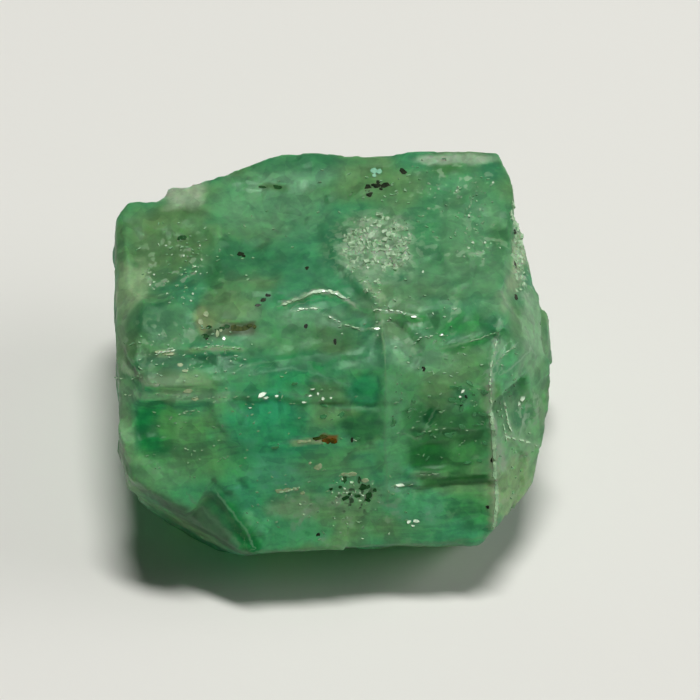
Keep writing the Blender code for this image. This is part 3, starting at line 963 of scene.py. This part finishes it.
def painted(points, normals):
    """Body colour: the marks over the mottling, with painted light on the front slope and painted shade facing down.
    """
    colours = mottled(points)
    layers = (("cloud", CLOUDS, CLOUD_RAGGED * layered_noise(points, CLOUD_NOISE)),
              ("slab", SLABS, SLAB_RAGGED * noise_at(points, *SLAB_NOISE)))
    for kind, marks, rim in layers:
        for _, across, down, half_across, half_down, turn, edge, tint, strength in marks:
            reach = marked_reach(points, kind, across, down, half_across, half_down, turn) + rim
            colours = lay_over(colours, strength * (1.0 - fade(reach, 1.0 - edge, 1.0 + edge)), tint)
    # Painted light on the front slope and painted shade on faces that look down.
    gain = 1.0 + (PAINTED_SLOPE_LIGHT - 1.0) * fade(-normals[:, 1], *PAINTED_LIGHT_FACING)
    gain *= 1.0 - (1.0 - PAINTED_UNDER_SHADE) * fade(-normals[:, 2], *PAINTED_SHADE_FACING)
    bright = colours * gain[:, None]
    return bright * np.minimum(1.0, BRIGHTEST / bright.max(axis=1))[:, None]


def chain_sides(points, chain, half_width):
    """Signed distance from a chain in half widths, positive above it, and how far along it still shows."""
    spots = [Vector(seen_at(stone_tree, *place)[0]) for place in chain]
    best = np.full(len(points), FAR_AWAY)
    side = np.full(len(points), FAR_AWAY)
    for start, end, offset, away in chain_stretches(points, spots):
        _, normal = smooth_tree.find_nearest((start + end) / 2)[:2]
        upper = normal.cross(end - start).normalized()
        closer = away < best
        side = np.where(closer, np.sign(offset @ np.array(upper)) * away, side)
        best = np.where(closer, away, best)
    return side / (half_width * POINT_SIZE / MM), best


def crack_and_highlight_fields(points):
    """Nearest line at every point, crack and painted highlight alike: signed distance in half widths, strength,
    colour.
    """
    side = np.full(len(points), FAR_AWAY)
    nearest = np.full(len(points), FAR_AWAY)
    share = np.zeros(len(points))
    colours = np.zeros((len(points), 3))
    for _, chain, half_width, tint, strength in LINES:
        own_side, away = chain_sides(points, chain, half_width)
        closer = away < nearest
        side = np.where(closer, own_side, side)
        share = np.where(closer, CRACK_AND_HIGHLIGHT_STRENGTH * strength * (1.0 - fade(away, *CRACK_AND_HIGHLIGHT_ENDS)), share)
        colours[closer] = body_colour(tint)[:3]
        nearest = np.where(closer, away, nearest)
    return side, share, colours


def speck_fields(points):
    """How thickly fine bright, coarse bright and dark specks lie at every point."""
    fields = {"fine": np.zeros(len(points)), "coarse": np.zeros(len(points)), "dark": np.zeros(len(points))}
    for _, kind, across, down, half_across, half_down, strength in SPECK_ZONES:
        reach = marked_reach(points, "cloud", across, down, half_across, half_down, 0.0)
        fields[kind] = np.maximum(fields[kind], strength * (1.0 - fade(reach, *SPECK_RIM)))
    return np.column_stack([fields[kind] for kind in ("fine", "coarse", "dark")])


def keep_colours(piece, name, values):
    """Store one colour per point under a name that the material asks for."""
    layer = piece.data.color_attributes.new(name, "FLOAT_COLOR", "POINT")
    layer.data.foreach_set("color", np.column_stack([values, np.ones(len(values))]).ravel())


skin_points, skin_normals = read_skin(stone)
keep_colours(stone, "body", painted(skin_points, skin_normals))
crack_and_highlight_side, crack_and_highlight_share, crack_and_highlight_colours = crack_and_highlight_fields(skin_points)
crack_and_highlight_side = 0.5 + np.clip(crack_and_highlight_side, -FAR_AWAY, FAR_AWAY) / SIDE_SPAN
stripes = widest_share(skin_points, LINE_ZONES, np.full(len(skin_points), STRIPES_EVERYWHERE))
keep_colours(stone, "crack", np.column_stack([crack_and_highlight_side, crack_and_highlight_share, stripes]))
keep_colours(stone, "crack_and_highlight_colour", crack_and_highlight_colours)
keep_colours(stone, "specks", speck_fields(skin_points))
dullness = GLOSS[0] + (GLOSS[1] - GLOSS[0]) * fade(noise_at(skin_points, *GLOSS_NOISE), *SOFT_SPAN)
keep_colours(stone, "dullness", np.column_stack([dullness] * 3))
print("colours kept", [layer.name for layer in stone.data.color_attributes])

# %% [markdown]
# ## The stone's material
#
# The kept colours are shaded by fine noise, then the cracks, painted highlight lines and specks are drawn on top.
# Gloss changes too, from waxy to dull, by a soft noise. The clear body is plain: one transmission, one IOR and one
# absorption, set on the sockets themselves.

# %% Emerald material
TRANSMISSION = 0.6
BERYL_IOR = 1.58
SHEEN = 0.2
SHEEN_TINT = (0.4, 0.62, 0.46, 1.0)
ABSORPTION_COLOUR = (0.25, 0.85, 0.5, 1.0)
ABSORPTION_DENSITY = 110.0
SOFT_REACH = (0.4, 1.0, 0.6)
SOFT_SCALE = 0.14 * MM
STRIPE_RUN = (0.9, 0.9, 7.0)
STRIPE_STRENGTH = 2.2
FACE_RATE = 2.2
FACE_CONTRAST = 0.24
BUMP_STRENGTH = 0.4
BUMP_HEIGHT = 0.02 * MM
CRACK_AND_HIGHLIGHT_RIM = (1.9, 0.2)
CRACK_AND_HIGHLIGHT_SHAKE = 0.8
NOISE_SPAN = (0.3, 0.7)
BODY_SHADES = (0.76, 1.28, 0.006)
BODY_NOISE = (2.6, 5.0)
STRIPE_NOISE = (1.0, 3.0)
CRACK_AND_HIGHLIGHT_NOISE = (5.0, 1.0)
BODY_RELIEF_RATE = 4.0
CHIP_SHARE = 0.5


def millimetres(tree):
    """The place on the piece, in millimetres."""
    place = tree.nodes.new("ShaderNodeTexCoord")
    scaled = add_node(tree, "VectorMath", operation="SCALE")
    scaled.inputs["Scale"].default_value = 1.0 / MM
    tree.links.new(place.outputs["Object"], scaled.inputs[0])
    return scaled.outputs["Vector"]


def ramp_between(tree, value, start, end, low=0.0, high=1.0):
    ramp = add_node(tree, "MapRange")
    for socket, number in zip(list(ramp.inputs)[1:5], (start, end, low, high)):
        socket.default_value = number
    tree.links.new(value, ramp.inputs["Value"])
    return ramp.outputs["Result"]


def kept(tree, name):
    node = add_node(tree, "Attribute", attribute_name=name)
    return node.outputs["Color"]


def parts_of(tree, colour):
    parts = add_node(tree, "SeparateColor")
    tree.links.new(colour, parts.inputs["Color"])
    return parts.outputs["Red"], parts.outputs["Green"], parts.outputs["Blue"]


def mixed(tree, below, share, above):
    mix = add_node(tree, "Mix", data_type="RGBA")
    tree.links.new(share, mix.inputs["Factor"])
    tree.links.new(below, mix.inputs[6])
    if isinstance(above, bpy.types.NodeSocket):
        tree.links.new(above, mix.inputs[7])
    else:
        mix.inputs[7].default_value = body_colour(above)
    return mix.outputs[2]


def noise_value(tree, place, scale, detail):
    node = add_node(tree, "TexNoise", Scale=scale, Detail=detail, Roughness=NOISE_ROUGHNESS)
    tree.links.new(place, node.inputs["Vector"])
    return node.outputs["Fac"]


def shaded_by(tree, colour, amount, dark, light, bluer):
    """Darken, lighten and turn a colour's hue by a noise amount around one half."""
    shaded = tree.nodes.new("ShaderNodeHueSaturation")
    tree.links.new(colour, shaded.inputs["Color"])
    tree.links.new(ramp_between(tree, amount, *NOISE_SPAN, dark, light), shaded.inputs["Value"])
    tree.links.new(ramp_between(tree, amount, *NOISE_SPAN, 0.5 + bluer, 0.5 - bluer), shaded.inputs["Hue"])
    return shaded.outputs["Color"]


def level_stripes(tree, place, striped):
    """Fine level growth bands, lighter and darker than the body, where the stripe zones lie."""
    flat = add_node(tree, "VectorMath", operation="MULTIPLY")
    flat.inputs[1].default_value = STRIPE_RUN
    tree.links.new(place, flat.inputs[0])
    bands = maths(tree, "SUBTRACT", noise_value(tree, flat.outputs["Vector"], *STRIPE_NOISE), 0.5)
    return maths(tree, "MULTIPLY", maths(tree, "MULTIPLY", bands, STRIPE_STRENGTH), striped)


def little_faces(tree, place):
    """Each little break face is a shade lighter or darker than its neighbours."""
    cells = add_node(tree, "TexVoronoi", Scale=FACE_RATE)
    tree.links.new(place, cells.inputs["Vector"])
    shade, _, _ = parts_of(tree, cells.outputs["Color"])
    return maths(tree, "MULTIPLY", maths(tree, "SUBTRACT", shade, 0.5), FACE_CONTRAST)


def stone_colour(tree, place):
    side, share, striped = parts_of(tree, kept(tree, "crack"))
    amount = maths(tree, "ADD", noise_value(tree, place, *BODY_NOISE), level_stripes(tree, place, striped))
    amount = maths(tree, "ADD", amount, little_faces(tree, place))
    colour = shaded_by(tree, kept(tree, "body"), amount, *BODY_SHADES)
    halves = maths(tree, "MULTIPLY", maths(tree, "SUBTRACT", side, 0.5), SIDE_SPAN)
    shaken = ramp_between(tree, noise_value(tree, place, *CRACK_AND_HIGHLIGHT_NOISE), *NOISE_SPAN, -CRACK_AND_HIGHLIGHT_SHAKE, CRACK_AND_HIGHLIGHT_SHAKE)
    reach = maths(tree, "ABSOLUTE", maths(tree, "ADD", halves, shaken), 0.0)
    line = maths(tree, "MULTIPLY", ramp_between(tree, reach, *CRACK_AND_HIGHLIGHT_RIM), share)
    # Cracks and painted highlight lines are drawn over the body.
    colour = mixed(tree, colour, line, kept(tree, "crack_and_highlight_colour"))
    zones = parts_of(tree, kept(tree, "specks"))
    for zone, (rate, level, tint) in zip(zones, SPECK_KINDS):
        dots = use_group(tree, "specks", Place=place, Scale=rate, Level=level)
        colour = mixed(tree, colour, maths(tree, "MULTIPLY", zone, dots.outputs["Mask"]), tint)
    return colour


def emerald_material():
    material, tree, shader = new_material("emerald_body")
    place = millimetres(tree)
    tree.links.new(stone_colour(tree, place), shader.inputs["Base Color"])
    dullness, _, _ = parts_of(tree, kept(tree, "dullness"))
    tree.links.new(dullness, shader.inputs["Roughness"])
    shader.inputs["IOR"].default_value = BERYL_IOR
    shader.inputs["Specular IOR Level"].default_value = SHEEN
    shader.inputs["Specular Tint"].default_value = SHEEN_TINT
    shader.inputs["Transmission Weight"].default_value = TRANSMISSION
    shader.inputs["Subsurface Weight"].default_value = 1.0
    shader.inputs["Subsurface Radius"].default_value = SOFT_REACH
    shader.inputs["Subsurface Scale"].default_value = SOFT_SCALE
    relief = use_group(tree, "grain relief", Place=place, Scale=BODY_RELIEF_RATE, Chips=CHIP_SHARE)
    add_bump(tree, shader, relief.outputs["Height"], BUMP_STRENGTH, BUMP_HEIGHT)
    absorb = add_node(tree, "VolumeAbsorption", Density=ABSORPTION_DENSITY)
    absorb.inputs["Color"].default_value = ABSORPTION_COLOUR
    tree.links.new(absorb.outputs["Volume"], tree.nodes["Material Output"].inputs["Volume"])
    return material


stone.data.materials.append(emerald_material())
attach(stone, "root")
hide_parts(NODE)
print("emerald nodes", len(stone.data.materials[0].node_tree.nodes))

# %% [markdown]
# ## Things that grew in the stone
#
# Emerald grows in mica schist, so black mica flakes, brown iron-stained ones and cream feldspar sit in its skin.
# Each is a thin, uneven plate, sunk into the skin at its own place. Crushed places carry sugary grains, and a few
# flat cleavage chips face the light and flash, coloured near white as a painted highlight. They are joined into one
# mesh for each kind.

# %% Helpers for small pieces
SINK = 0.05
SMALL_SEED = 21
SEEN_TO_GRAIN = 1.15
PLATE_FOOT = 1.12
CORNER_SHAKE = 0.3
CORNER_REACH = (0.72, 1.12)
TINT_NOISE = (6.0, 3.0)
TINT_SPAN = (0.4, 0.6)
PIECE_RELIEF = (0.3, 0.01 * MM)
PIECE_RELIEF_RATE = 9.0


def solid_colour(seen):
    """Colour of an opaque grain that shows as the seen colour."""
    return tuple(SEEN_TO_GRAIN * value for value in linear_parts(seen)) + (1.0,)


def grain_material(name, dark, light, roughness, sheen):
    """Two colours mixed by noise, with a fine broken relief."""
    material, tree, shader = new_material(name)
    place = millimetres(tree)
    share = ramp_between(tree, noise_value(tree, place, *TINT_NOISE), *TINT_SPAN)
    mix = add_node(tree, "Mix", data_type="RGBA")
    tree.links.new(share, mix.inputs["Factor"])
    mix.inputs[6].default_value = solid_colour(dark)
    mix.inputs[7].default_value = solid_colour(light)
    tree.links.new(mix.outputs[2], shader.inputs["Base Color"])
    shader.inputs["Roughness"].default_value = roughness
    shader.inputs["Specular IOR Level"].default_value = sheen
    shader.inputs["IOR"].default_value = BERYL_IOR
    relief = use_group(tree, "grain relief", Place=place, Scale=PIECE_RELIEF_RATE, Chips=CHIP_SHARE)
    add_bump(tree, shader, relief.outputs["Height"], *PIECE_RELIEF)
    return material


def add_plate(mesh, spot, axes, half_sizes, lift, dice, sides=7):
    """An uneven plate, wider where it sinks into the skin than on top."""
    along, across, outward = axes
    rings = []
    shape = [(2 * math.pi * (number + dice.uniform(-CORNER_SHAKE, CORNER_SHAKE)) / sides,
              dice.uniform(*CORNER_REACH)) for number in range(sides)]
    for width, level in ((PLATE_FOOT, -SINK), (1.0, lift)):
        rings.append([mesh.verts.new(spot + along * (half_sizes[0] * size * width * math.cos(angle))
                                     + across * (half_sizes[1] * size * width * math.sin(angle))
                                     + outward * level) for angle, size in shape])
    low, high = rings
    mesh.faces.new(high)
    mesh.faces.new(low[::-1])
    for number in range(sides):
        following = (number + 1) % sides
        mesh.faces.new((low[number], low[following], high[following], high[number]))


def finish_piece(name, mesh, material):
    """Scale to metres, keep inside the solid's box, and hand the piece to the stone."""
    for vertex in mesh.verts:
        place = vertex.co * MM
        vertex.co = [min(max(value, low), high) for value, low, high in zip(place, cad_low, cad_high)]
    data = bpy.data.meshes.new(name)
    mesh.to_mesh(data)
    mesh.free()
    data.materials.append(material)
    piece = put_in(name, data)
    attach(piece, "root")
    print(name, "faces", len(data.polygons))


print("small piece helpers ready")

# %% [markdown]
# ## Mica, brown streaks and feldspar
#
# The black cluster high on the stone is a few touching mica plates of uneven outline, and the same mica lies
# lower down as a loose patch. The two brown streaks are mica stained by iron. The cream scraps are feldspar.

# %% Flakes
FLAKES = {
    "mica_flakes": (
        # across, down, half long, half wide, turn
        (368, 188, 3.6, 2.6, 80), (369.5, 194, 3.2, 3.0, 0), (374, 185, 2.6, 1.1, 10), (377.5, 186, 3.2, 2.4, 30),
        (378.5, 181.5, 2.8, 1.6, 70), (385, 185.2, 3.4, 3.0, 60), (380.5, 189, 1.6, 1.1, 0),
        (403, 171.5, 3.4, 2.2, 120), (241, 254, 3.0, 1.6, 0), (244, 256, 1.6, 1.0, 0), (307, 268, 1.8, 1.4, 0),
        (268, 295, 2.6, 1.5, 20), (263, 300, 2.2, 1.6, 40), (258, 305, 2.4, 1.3, 10), (306, 326, 1.6, 2.0, 0),
        (335, 342, 1.4, 2.6, 0), (423, 369, 2.4, 1.9, 0), (318, 535, 2.2, 2.0, 0), (515, 265, 1.8, 2.6, 0),
        (516, 297, 2.0, 2.6, 0), (207, 339, 1.5, 1.2, 0), (515, 232, 1.3, 2.0, 0), (461, 405, 1.3, 1.0, 0),
        (466, 397, 1.1, 2.2, 20), (352, 440, 1.2, 1.8, 0), (488, 507, 1.8, 1.3, 0), (492, 460, 1.2, 2.2, 0),
    ),
    "dark_flecks": (
        (344, 480, 2.6, 2.6, 0), (359.5, 480, 3.4, 1.4, 85), (363, 487, 4.2, 2.6, 0), (368, 487, 2.2, 1.8, 20),
        (369, 495, 2.8, 2.6, 60), (368, 500, 2.4, 1.6, 0), (357, 496, 2.8, 1.5, 10), (345, 498, 3.6, 1.6, 20),
        (351, 494, 2.6, 1.3, 0), (375, 490, 1.8, 1.5, 0), (331, 489, 1.8, 1.2, 0), (340, 487, 1.6, 1.2, 0),
        (205, 336, 3.0, 2.0, 0), (209, 327, 2.2, 1.6, 0), (216, 330.5, 2.8, 1.5, 10), (222, 328.5, 2.6, 1.5, 0),
        (227, 326.5, 2.8, 1.6, 0), (182, 238, 5.0, 2.0, 0), (276, 187, 6.0, 1.5, -6), (262, 187, 4.0, 1.2, -6),
    ),
    "brown_mica": (
        (233, 328, 4.0, 2.8, 10), (239.5, 328.6, 4.6, 2.6, 4), (246, 328, 3.6, 2.0, 12), (250, 324.5, 2.6, 2.0, 40),
        (254.5, 327, 1.6, 1.8, 0), (317, 438.5, 3.8, 1.6, 8), (323, 436.5, 3.6, 1.7, 0),
    ),
    "rust_mica": ((327.5, 440.8, 5.4, 2.2, 4), (333, 440.8, 3.2, 2.2, -16)),
    "cream_flakes": (
        (217.5, 333.5, 1.6, 2.8, 0), (221, 330.5, 1.3, 1.4, 0), (300, 441.5, 3.0, 1.6, 10),
        (305.5, 441.5, 2.2, 1.3, 0), (309.5, 441, 1.6, 1.3, 0), (318, 467, 3.8, 2.4, 25), (279, 491, 3.2, 1.8, 0),
        (287, 490, 3.6, 1.6, 8), (296, 489, 2.6, 1.5, 0), (302, 493, 2.0, 1.4, 0), (180, 365, 2.4, 1.6, 0),
        (310, 463, 1.6, 1.2, 0), (365, 480.5, 3.6, 1.8, 0), (344, 474.5, 3.4, 1.3, 0), (353, 474, 4.2, 1.6, 0),
        (158, 352, 3.2, 1.2, 0), (170, 354, 4.0, 1.1, 4), (188, 391, 3.6, 1.8, 0), (195, 399, 2.8, 1.5, 0),
        (186, 371, 3.0, 1.3, 0), (201, 322, 2.4, 3.2, 20), (206, 314, 2.0, 2.6, 0),
    ),
    "blue_green_fleck": ((374, 171, 3.4, 2.6, 20), (379, 171.5, 2.6, 2.2, 0), (374, 175.5, 2.0, 1.8, 0)),
}
FLAKE_LOOKS = {
    # name: dark colour, light colour, roughness, sheen
    "mica_flakes": ((20, 30, 20), (42, 52, 36), 0.4, 0.1),
    "dark_flecks": ((24, 66, 30), (44, 86, 48), 0.5, 0.05),
    "brown_mica": ((40, 60, 20), (74, 84, 40), 0.5, 0.05),
    "rust_mica": ((52, 54, 10), (104, 70, 18), 0.45, 0.1),
    "cream_flakes": ((128, 156, 112), (160, 176, 136), 0.5, 0.2),
    "blue_green_fleck": ((118, 176, 146), (136, 190, 160), 0.4, 0.2),
}
FLAKE_LIFT = 0.012
FLAKE_GROWTH = 1.3


def add_flakes(name, places):
    mesh = bmesh.new()
    dice = random.Random(SMALL_SEED + len(name))
    for across, down, half_long, half_wide, turn in places:
        spot, _ = seen_at(stone_tree, across, down)
        _, flat_normal = seen_at(smooth_tree, across, down)
        axes = skin_axes(flat_normal, turn)
        half_sizes = [FLAKE_GROWTH * half * point_length(axis) for half, axis in zip((half_long, half_wide), axes)]
        add_plate(mesh, spot, axes, half_sizes, FLAKE_LIFT, dice)
    finish_piece(name, mesh, grain_material(name, *FLAKE_LOOKS[name]))


for name, places in FLAKES.items():
    add_flakes(name, places)

# %% [markdown]
# ## Sugary grains
#
# Crushed emerald is a bed of loose angular grains. Each grain is a small box with shaken corners, half sunk, and
# they lie closest in the round patch on top and along the right edge.

# %% Grains
GRAIN_BEDS = (
    # name, across, down, half across, half down, grains, half size
    ("patch_coarse", 378, 244, 34, 30, 150, (0.07, 0.16)),
    ("patch_rim", 352, 248, 8, 26, 24, (0.06, 0.13)),
    ("patch_foot", 374, 288, 12, 10, 20, (0.05, 0.11)),
    ("right_edge", 519, 245, 7, 48, 70, (0.05, 0.13)),
    ("upper_right", 455, 195, 36, 26, 44, (0.03, 0.07)),
    ("right_middle", 478, 240, 28, 20, 30, (0.03, 0.07)),
    ("frost", 176, 268, 30, 34, 40, (0.03, 0.07)),
    ("lower_patch", 354, 492, 24, 16, 30, (0.03, 0.07)),
    ("low_front", 340, 520, 80, 22, 30, (0.02, 0.05)),
    ("left_band", 180, 350, 50, 16, 26, (0.02, 0.05)),
)
GRAIN_TURNS = (0.0, 6.3)
GRAIN_UPRIGHT = 0.1
GRAIN_FLATNESS = (0.8, 0.6)
GRAIN_CORNERS = (0.7, 1.2)
GRAIN_SINK = 0.7
BOX_FACES = ((0, 1, 3, 2), (4, 6, 7, 5), (0, 4, 5, 1), (2, 3, 7, 6), (0, 2, 6, 4), (1, 5, 7, 3))
SUGAR_LOOK = ((126, 164, 126), (164, 192, 160), 0.5, 0.3)


def add_grain(mesh, spot, half, dice):
    """A box with shaken corners and a random turn."""
    angle = dice.uniform(*GRAIN_TURNS)
    axis = Vector((dice.random(), dice.random(), dice.random() + GRAIN_UPRIGHT))
    turn = Matrix.Rotation(angle, 3, axis)
    corners = []
    for side in (-1, 1):
        for rise in (-1, 1):
            for depth in (-1, 1):
                corner = Vector((side, rise * GRAIN_FLATNESS[0], depth * GRAIN_FLATNESS[1]))
                corner = corner * half * dice.uniform(*GRAIN_CORNERS)
                corners.append(mesh.verts.new(spot + turn @ corner))
    for face in BOX_FACES:
        mesh.faces.new([corners[number] for number in face])


def add_grains():
    mesh = bmesh.new()
    dice = random.Random(SMALL_SEED)
    for _, across, down, half_across, half_down, count, sizes in GRAIN_BEDS:
        for _ in range(count):
            angle, reach = dice.uniform(0.0, 2 * math.pi), math.sqrt(dice.random())
            spot, normal = seen_at(stone_tree, across + half_across * reach * math.cos(angle),
                                   down + half_down * reach * math.sin(angle))
            half = dice.uniform(*sizes)
            add_grain(mesh, spot - normal * half * GRAIN_SINK, half, dice)
    finish_piece("sugar_grains", mesh, grain_material("sugar_grains", *SUGAR_LOOK))


add_grains()

# %% [markdown]
# ## Cleavage chips that flash
#
# A chip whose face lies halfway between the eye and the lamp throws the lamp straight back. Each chip is a thin
# plate turned most of that way, and small enough to read as a spark; the bright ones are also coloured near white
# as a painted highlight. Along the cracks lie broken rows of pale slivers, and the rows along the curved ridge and
# beside the glints are painted highlight. Paler and darker scraps are strewn about, which lie nearer to the slope
# of the skin.

# %% Chips and slivers
CHIPS = (
    # across, down, half long, half wide, turn
    (262, 395, 5.0, 2.2, 30), (266, 397.5, 3.4, 1.6, 0), (277, 396, 2.0, 1.3, 20), (304, 402, 2.2, 1.2, 0),
    (310, 396, 2.2, 1.1, 20), (313, 389, 2.6, 1.0, 10), (318, 394, 1.6, 1.4, 60), (323, 399, 1.8, 1.6, 0),
    (331, 398, 1.5, 1.2, 0), (400, 485, 5.2, 1.9, 0), (409, 522, 3.0, 1.9, 30), (416, 521, 3.2, 2.1, -20),
    (413, 526, 2.4, 1.0, 0), (463, 391, 2.6, 1.4, 40), (460, 397, 1.6, 1.1, 0), (523, 398, 2.2, 4.2, -30),
    (519, 404, 1.4, 2.2, 0), (414, 317, 3.4, 1.0, 0), (441, 335, 2.4, 1.0, 10), (377, 329, 3.0, 1.0, 0),
    (301, 309, 3.0, 1.0, 0), (224, 339, 1.6, 2.0, 40), (322, 291.5, 3.0, 0.8, 0), (336, 294, 2.4, 0.8, -14),
)
FAINT_CHIPS = (
    (407, 248, 1.6, 1.2, 0), (423, 272, 1.4, 1.6, 0),
    (365, 282, 1.6, 1.0, 0), (457, 191, 1.6, 1.2, 0), (469, 216, 1.4, 1.6, 0), (473, 243, 1.8, 1.2, 0),
    (485, 243, 1.6, 1.4, 0), (493, 183, 1.4, 1.2, 0), (166, 246, 1.8, 1.0, 0), (184, 256, 1.2, 1.4, 0),
    (195, 267, 1.4, 1.0, 0), (196, 272, 1.2, 1.2, 0), (154, 275, 1.6, 1.0, 0), (150, 285, 1.2, 1.4, 0),
    (167, 294, 1.4, 1.0, 0), (193, 294, 1.2, 1.4, 0), (191, 301, 1.4, 1.0, 0), (200, 246, 1.2, 1.0, 0),
    (372, 226, 1.8, 1.2, 0), (383, 232, 1.4, 1.8, 0), (362, 240, 1.6, 1.4, 0), (390, 250, 1.8, 1.2, 0),
    (378, 262, 1.4, 1.6, 0), (368, 268, 1.8, 1.2, 0), (514, 212, 1.2, 2.2, 0), (518, 228, 1.4, 2.0, 0),
    (522, 262, 1.2, 2.4, 0), (524, 284, 1.4, 2.2, 0), (355, 440, 1.2, 2.2, 60), (250, 408, 2.0, 0.9, 0),
)
STRIPS = (
    # picture points of the chain, plates per picture point, half length, half width, share that is left out
    # Painted highlight: the first four rows trace the shine on the curved ridge; the front brow row and the short
    # rows by the glints near 440, 335 and 400, 486 are painted highlight too.
    (((284, 304), (292, 301), (299, 299), (309, 294), (318, 291), (328, 291), (337, 294), (346, 299)), 0.6, 2.8, 1.5,
     0.1),
    (((297, 311), (308, 308), (320, 308)), 0.4, 2.4, 1.0, 0.2),
    (((330, 317), (342, 324), (360, 329), (377, 329)), 0.3, 2.0, 0.8, 0.3),
    (((372, 310), (398, 312), (416, 317)), 0.25, 2.2, 0.9, 0.3),
    (((499, 330), (491, 366), (490, 384), (491, 405)), 0.3, 2.6, 1.1, 0.25),
    (((491, 412), (494, 440), (495, 475), (497, 500), (494, 526)), 0.45, 3.2, 2.4, 0.15),
    (((504, 402), (508, 424), (514, 436)), 0.3, 2.4, 0.9, 0.3),
    (((505, 437), (520, 440), (540, 447)), 0.3, 2.6, 1.2, 0.3),
    (((157, 353), (176, 350)), 0.4, 2.2, 0.7, 0.2),
    (((198, 349), (214, 346), (234, 348)), 0.3, 2.0, 0.6, 0.4),
    (((113, 377), (132, 379), (168, 372)), 0.25, 1.8, 0.6, 0.5),
    (((114, 396), (160, 394), (205, 398), (250, 396)), 0.2, 1.8, 0.7, 0.5),
    (((166, 418), (190, 411), (220, 414)), 0.3, 1.6, 0.8, 0.4),
    (((178, 447), (196, 452), (214, 446)), 0.2, 1.4, 0.8, 0.5),
    (((420, 338), (440, 335), (452, 336)), 0.2, 2.0, 0.7, 0.3),
    (((468, 342), (497, 332)), 0.3, 2.2, 0.5, 0.2),
    (((515, 345), (503, 356), (489, 370)), 0.3, 1.8, 0.4, 0.2),
    (((500, 402), (503, 424), (507, 446)), 0.25, 1.8, 0.7, 0.4),
    (((420, 432), (446, 429), (470, 430)), 0.2, 2.0, 0.6, 0.4),
    (((420, 475), (440, 473)), 0.3, 2.2, 0.7, 0.2),
    (((392, 486), (412, 485)), 0.4, 2.2, 0.8, 0.2),
    (((278, 493), (300, 488)), 0.3, 1.8, 1.0, 0.3),
    (((290, 404), (320, 400), (334, 397)), 0.3, 1.6, 0.6, 0.4),
)
PALE_SCATTERS = (
    # across, down, half across, half down, slivers
    (440, 400, 52, 60, 60), (190, 360, 74, 36, 54), (200, 440, 62, 42, 34), (330, 500, 90, 40, 46),
    (300, 410, 60, 40, 24), (440, 200, 56, 44, 50), (178, 262, 44, 44, 44), (330, 240, 110, 70, 34),
    (514, 430, 20, 84, 30), (400, 320, 70, 30, 34),
)
DARK_SCATTERS = ((448, 424, 46, 54, 26), (340, 420, 80, 50, 8))
CHIP_LOOKS = {
    # name: share turned to the flash, dark colour, light colour, roughness
    # Painted highlight: the bright chips are coloured near white, over the real flash from the lamp.
    "painted_glint_chips": (0.8, (168, 196, 166), (220, 236, 214), 0.25),
    "faint_chips": (0.8, (140, 172, 138), (168, 194, 162), 0.5),
    "pale_slivers": (0.3, (126, 168, 128), (158, 192, 152), 0.4),
    "pale_scraps": (0.2, (96, 148, 104), (124, 168, 124), 0.5),
    "dark_scraps": (0.0, (50, 122, 68), (64, 132, 82), 0.5),
}
CHIP_LIFT = 0.03
CHIP_SIDES = 6
CHIP_SHEEN = 0.5
PALE_SIZES = ((0.8, 2.4), (0.4, 1.0))
DARK_SIZES = ((2.0, 5.5), (1.0, 2.6))
SCATTER_TURN = 30.0
SLIVER_SHRINK = (0.6, 1.1)
SLIVER_SHAKE = (-0.8, 0.8)
HALFWAY = (view_back + SKY_LAMP_PLACE.normalized()).normalized()


def scattered(scatters, long_sizes, wide_sizes):
    """Slivers strewn over ellipses of the picture, most of them nearly level."""
    dice = random.Random(SMALL_SEED)
    for across, down, half_across, half_down, count in scatters:
        for _ in range(count):
            angle, reach = dice.uniform(0.0, 2 * math.pi), math.sqrt(dice.random())
            yield (across + half_across * reach * math.cos(angle), down + half_down * reach * math.sin(angle),
                   dice.uniform(*long_sizes), dice.uniform(*wide_sizes), dice.gauss(0.0, SCATTER_TURN))


def strip_places():
    """Broken rows of slivers along the chains, each sliver lying along its chain."""
    dice = random.Random(SMALL_SEED)
    for chain, rate, half_long, half_wide, left_out in STRIPS:
        for (across, down), (next_across, next_down) in zip(chain, chain[1:]):
            run = (next_across - across, next_down - down)
            count = max(1, round(rate * math.hypot(*run)))
            for number in range(count):
                share = (number + dice.random()) / count
                shrink, shaken = dice.uniform(*SLIVER_SHRINK), dice.uniform(*SLIVER_SHAKE)
                if dice.random() > left_out:
                    yield (across + run[0] * share, down + run[1] * share + shaken, half_long * shrink,
                           half_wide * shrink, math.degrees(math.atan2(-run[1], run[0])))


def add_chips(name, places):
    facing_share, dark, light, roughness = CHIP_LOOKS[name]
    mesh = bmesh.new()
    dice = random.Random(SMALL_SEED)
    for across, down, half_long, half_wide, turn in places:
        spot, _ = seen_at(stone_tree, across, down)
        _, flat_normal = seen_at(smooth_tree, across, down)
        facing = (HALFWAY * facing_share + flat_normal * (1.0 - facing_share)).normalized()
        axes = skin_axes(facing, turn)
        half_sizes = (half_long * point_length(axes[0]), half_wide * point_length(axes[1]))
        add_plate(mesh, spot, axes, half_sizes, CHIP_LIFT, dice, CHIP_SIDES)
    finish_piece(name, mesh, grain_material(name, dark, light, roughness, CHIP_SHEEN))


add_chips("painted_glint_chips", CHIPS)
add_chips("faint_chips", FAINT_CHIPS)
add_chips("pale_slivers", strip_places())
add_chips("pale_scraps", scattered(PALE_SCATTERS, *PALE_SIZES))
add_chips("dark_scraps", scattered(DARK_SCATTERS, *DARK_SIZES))
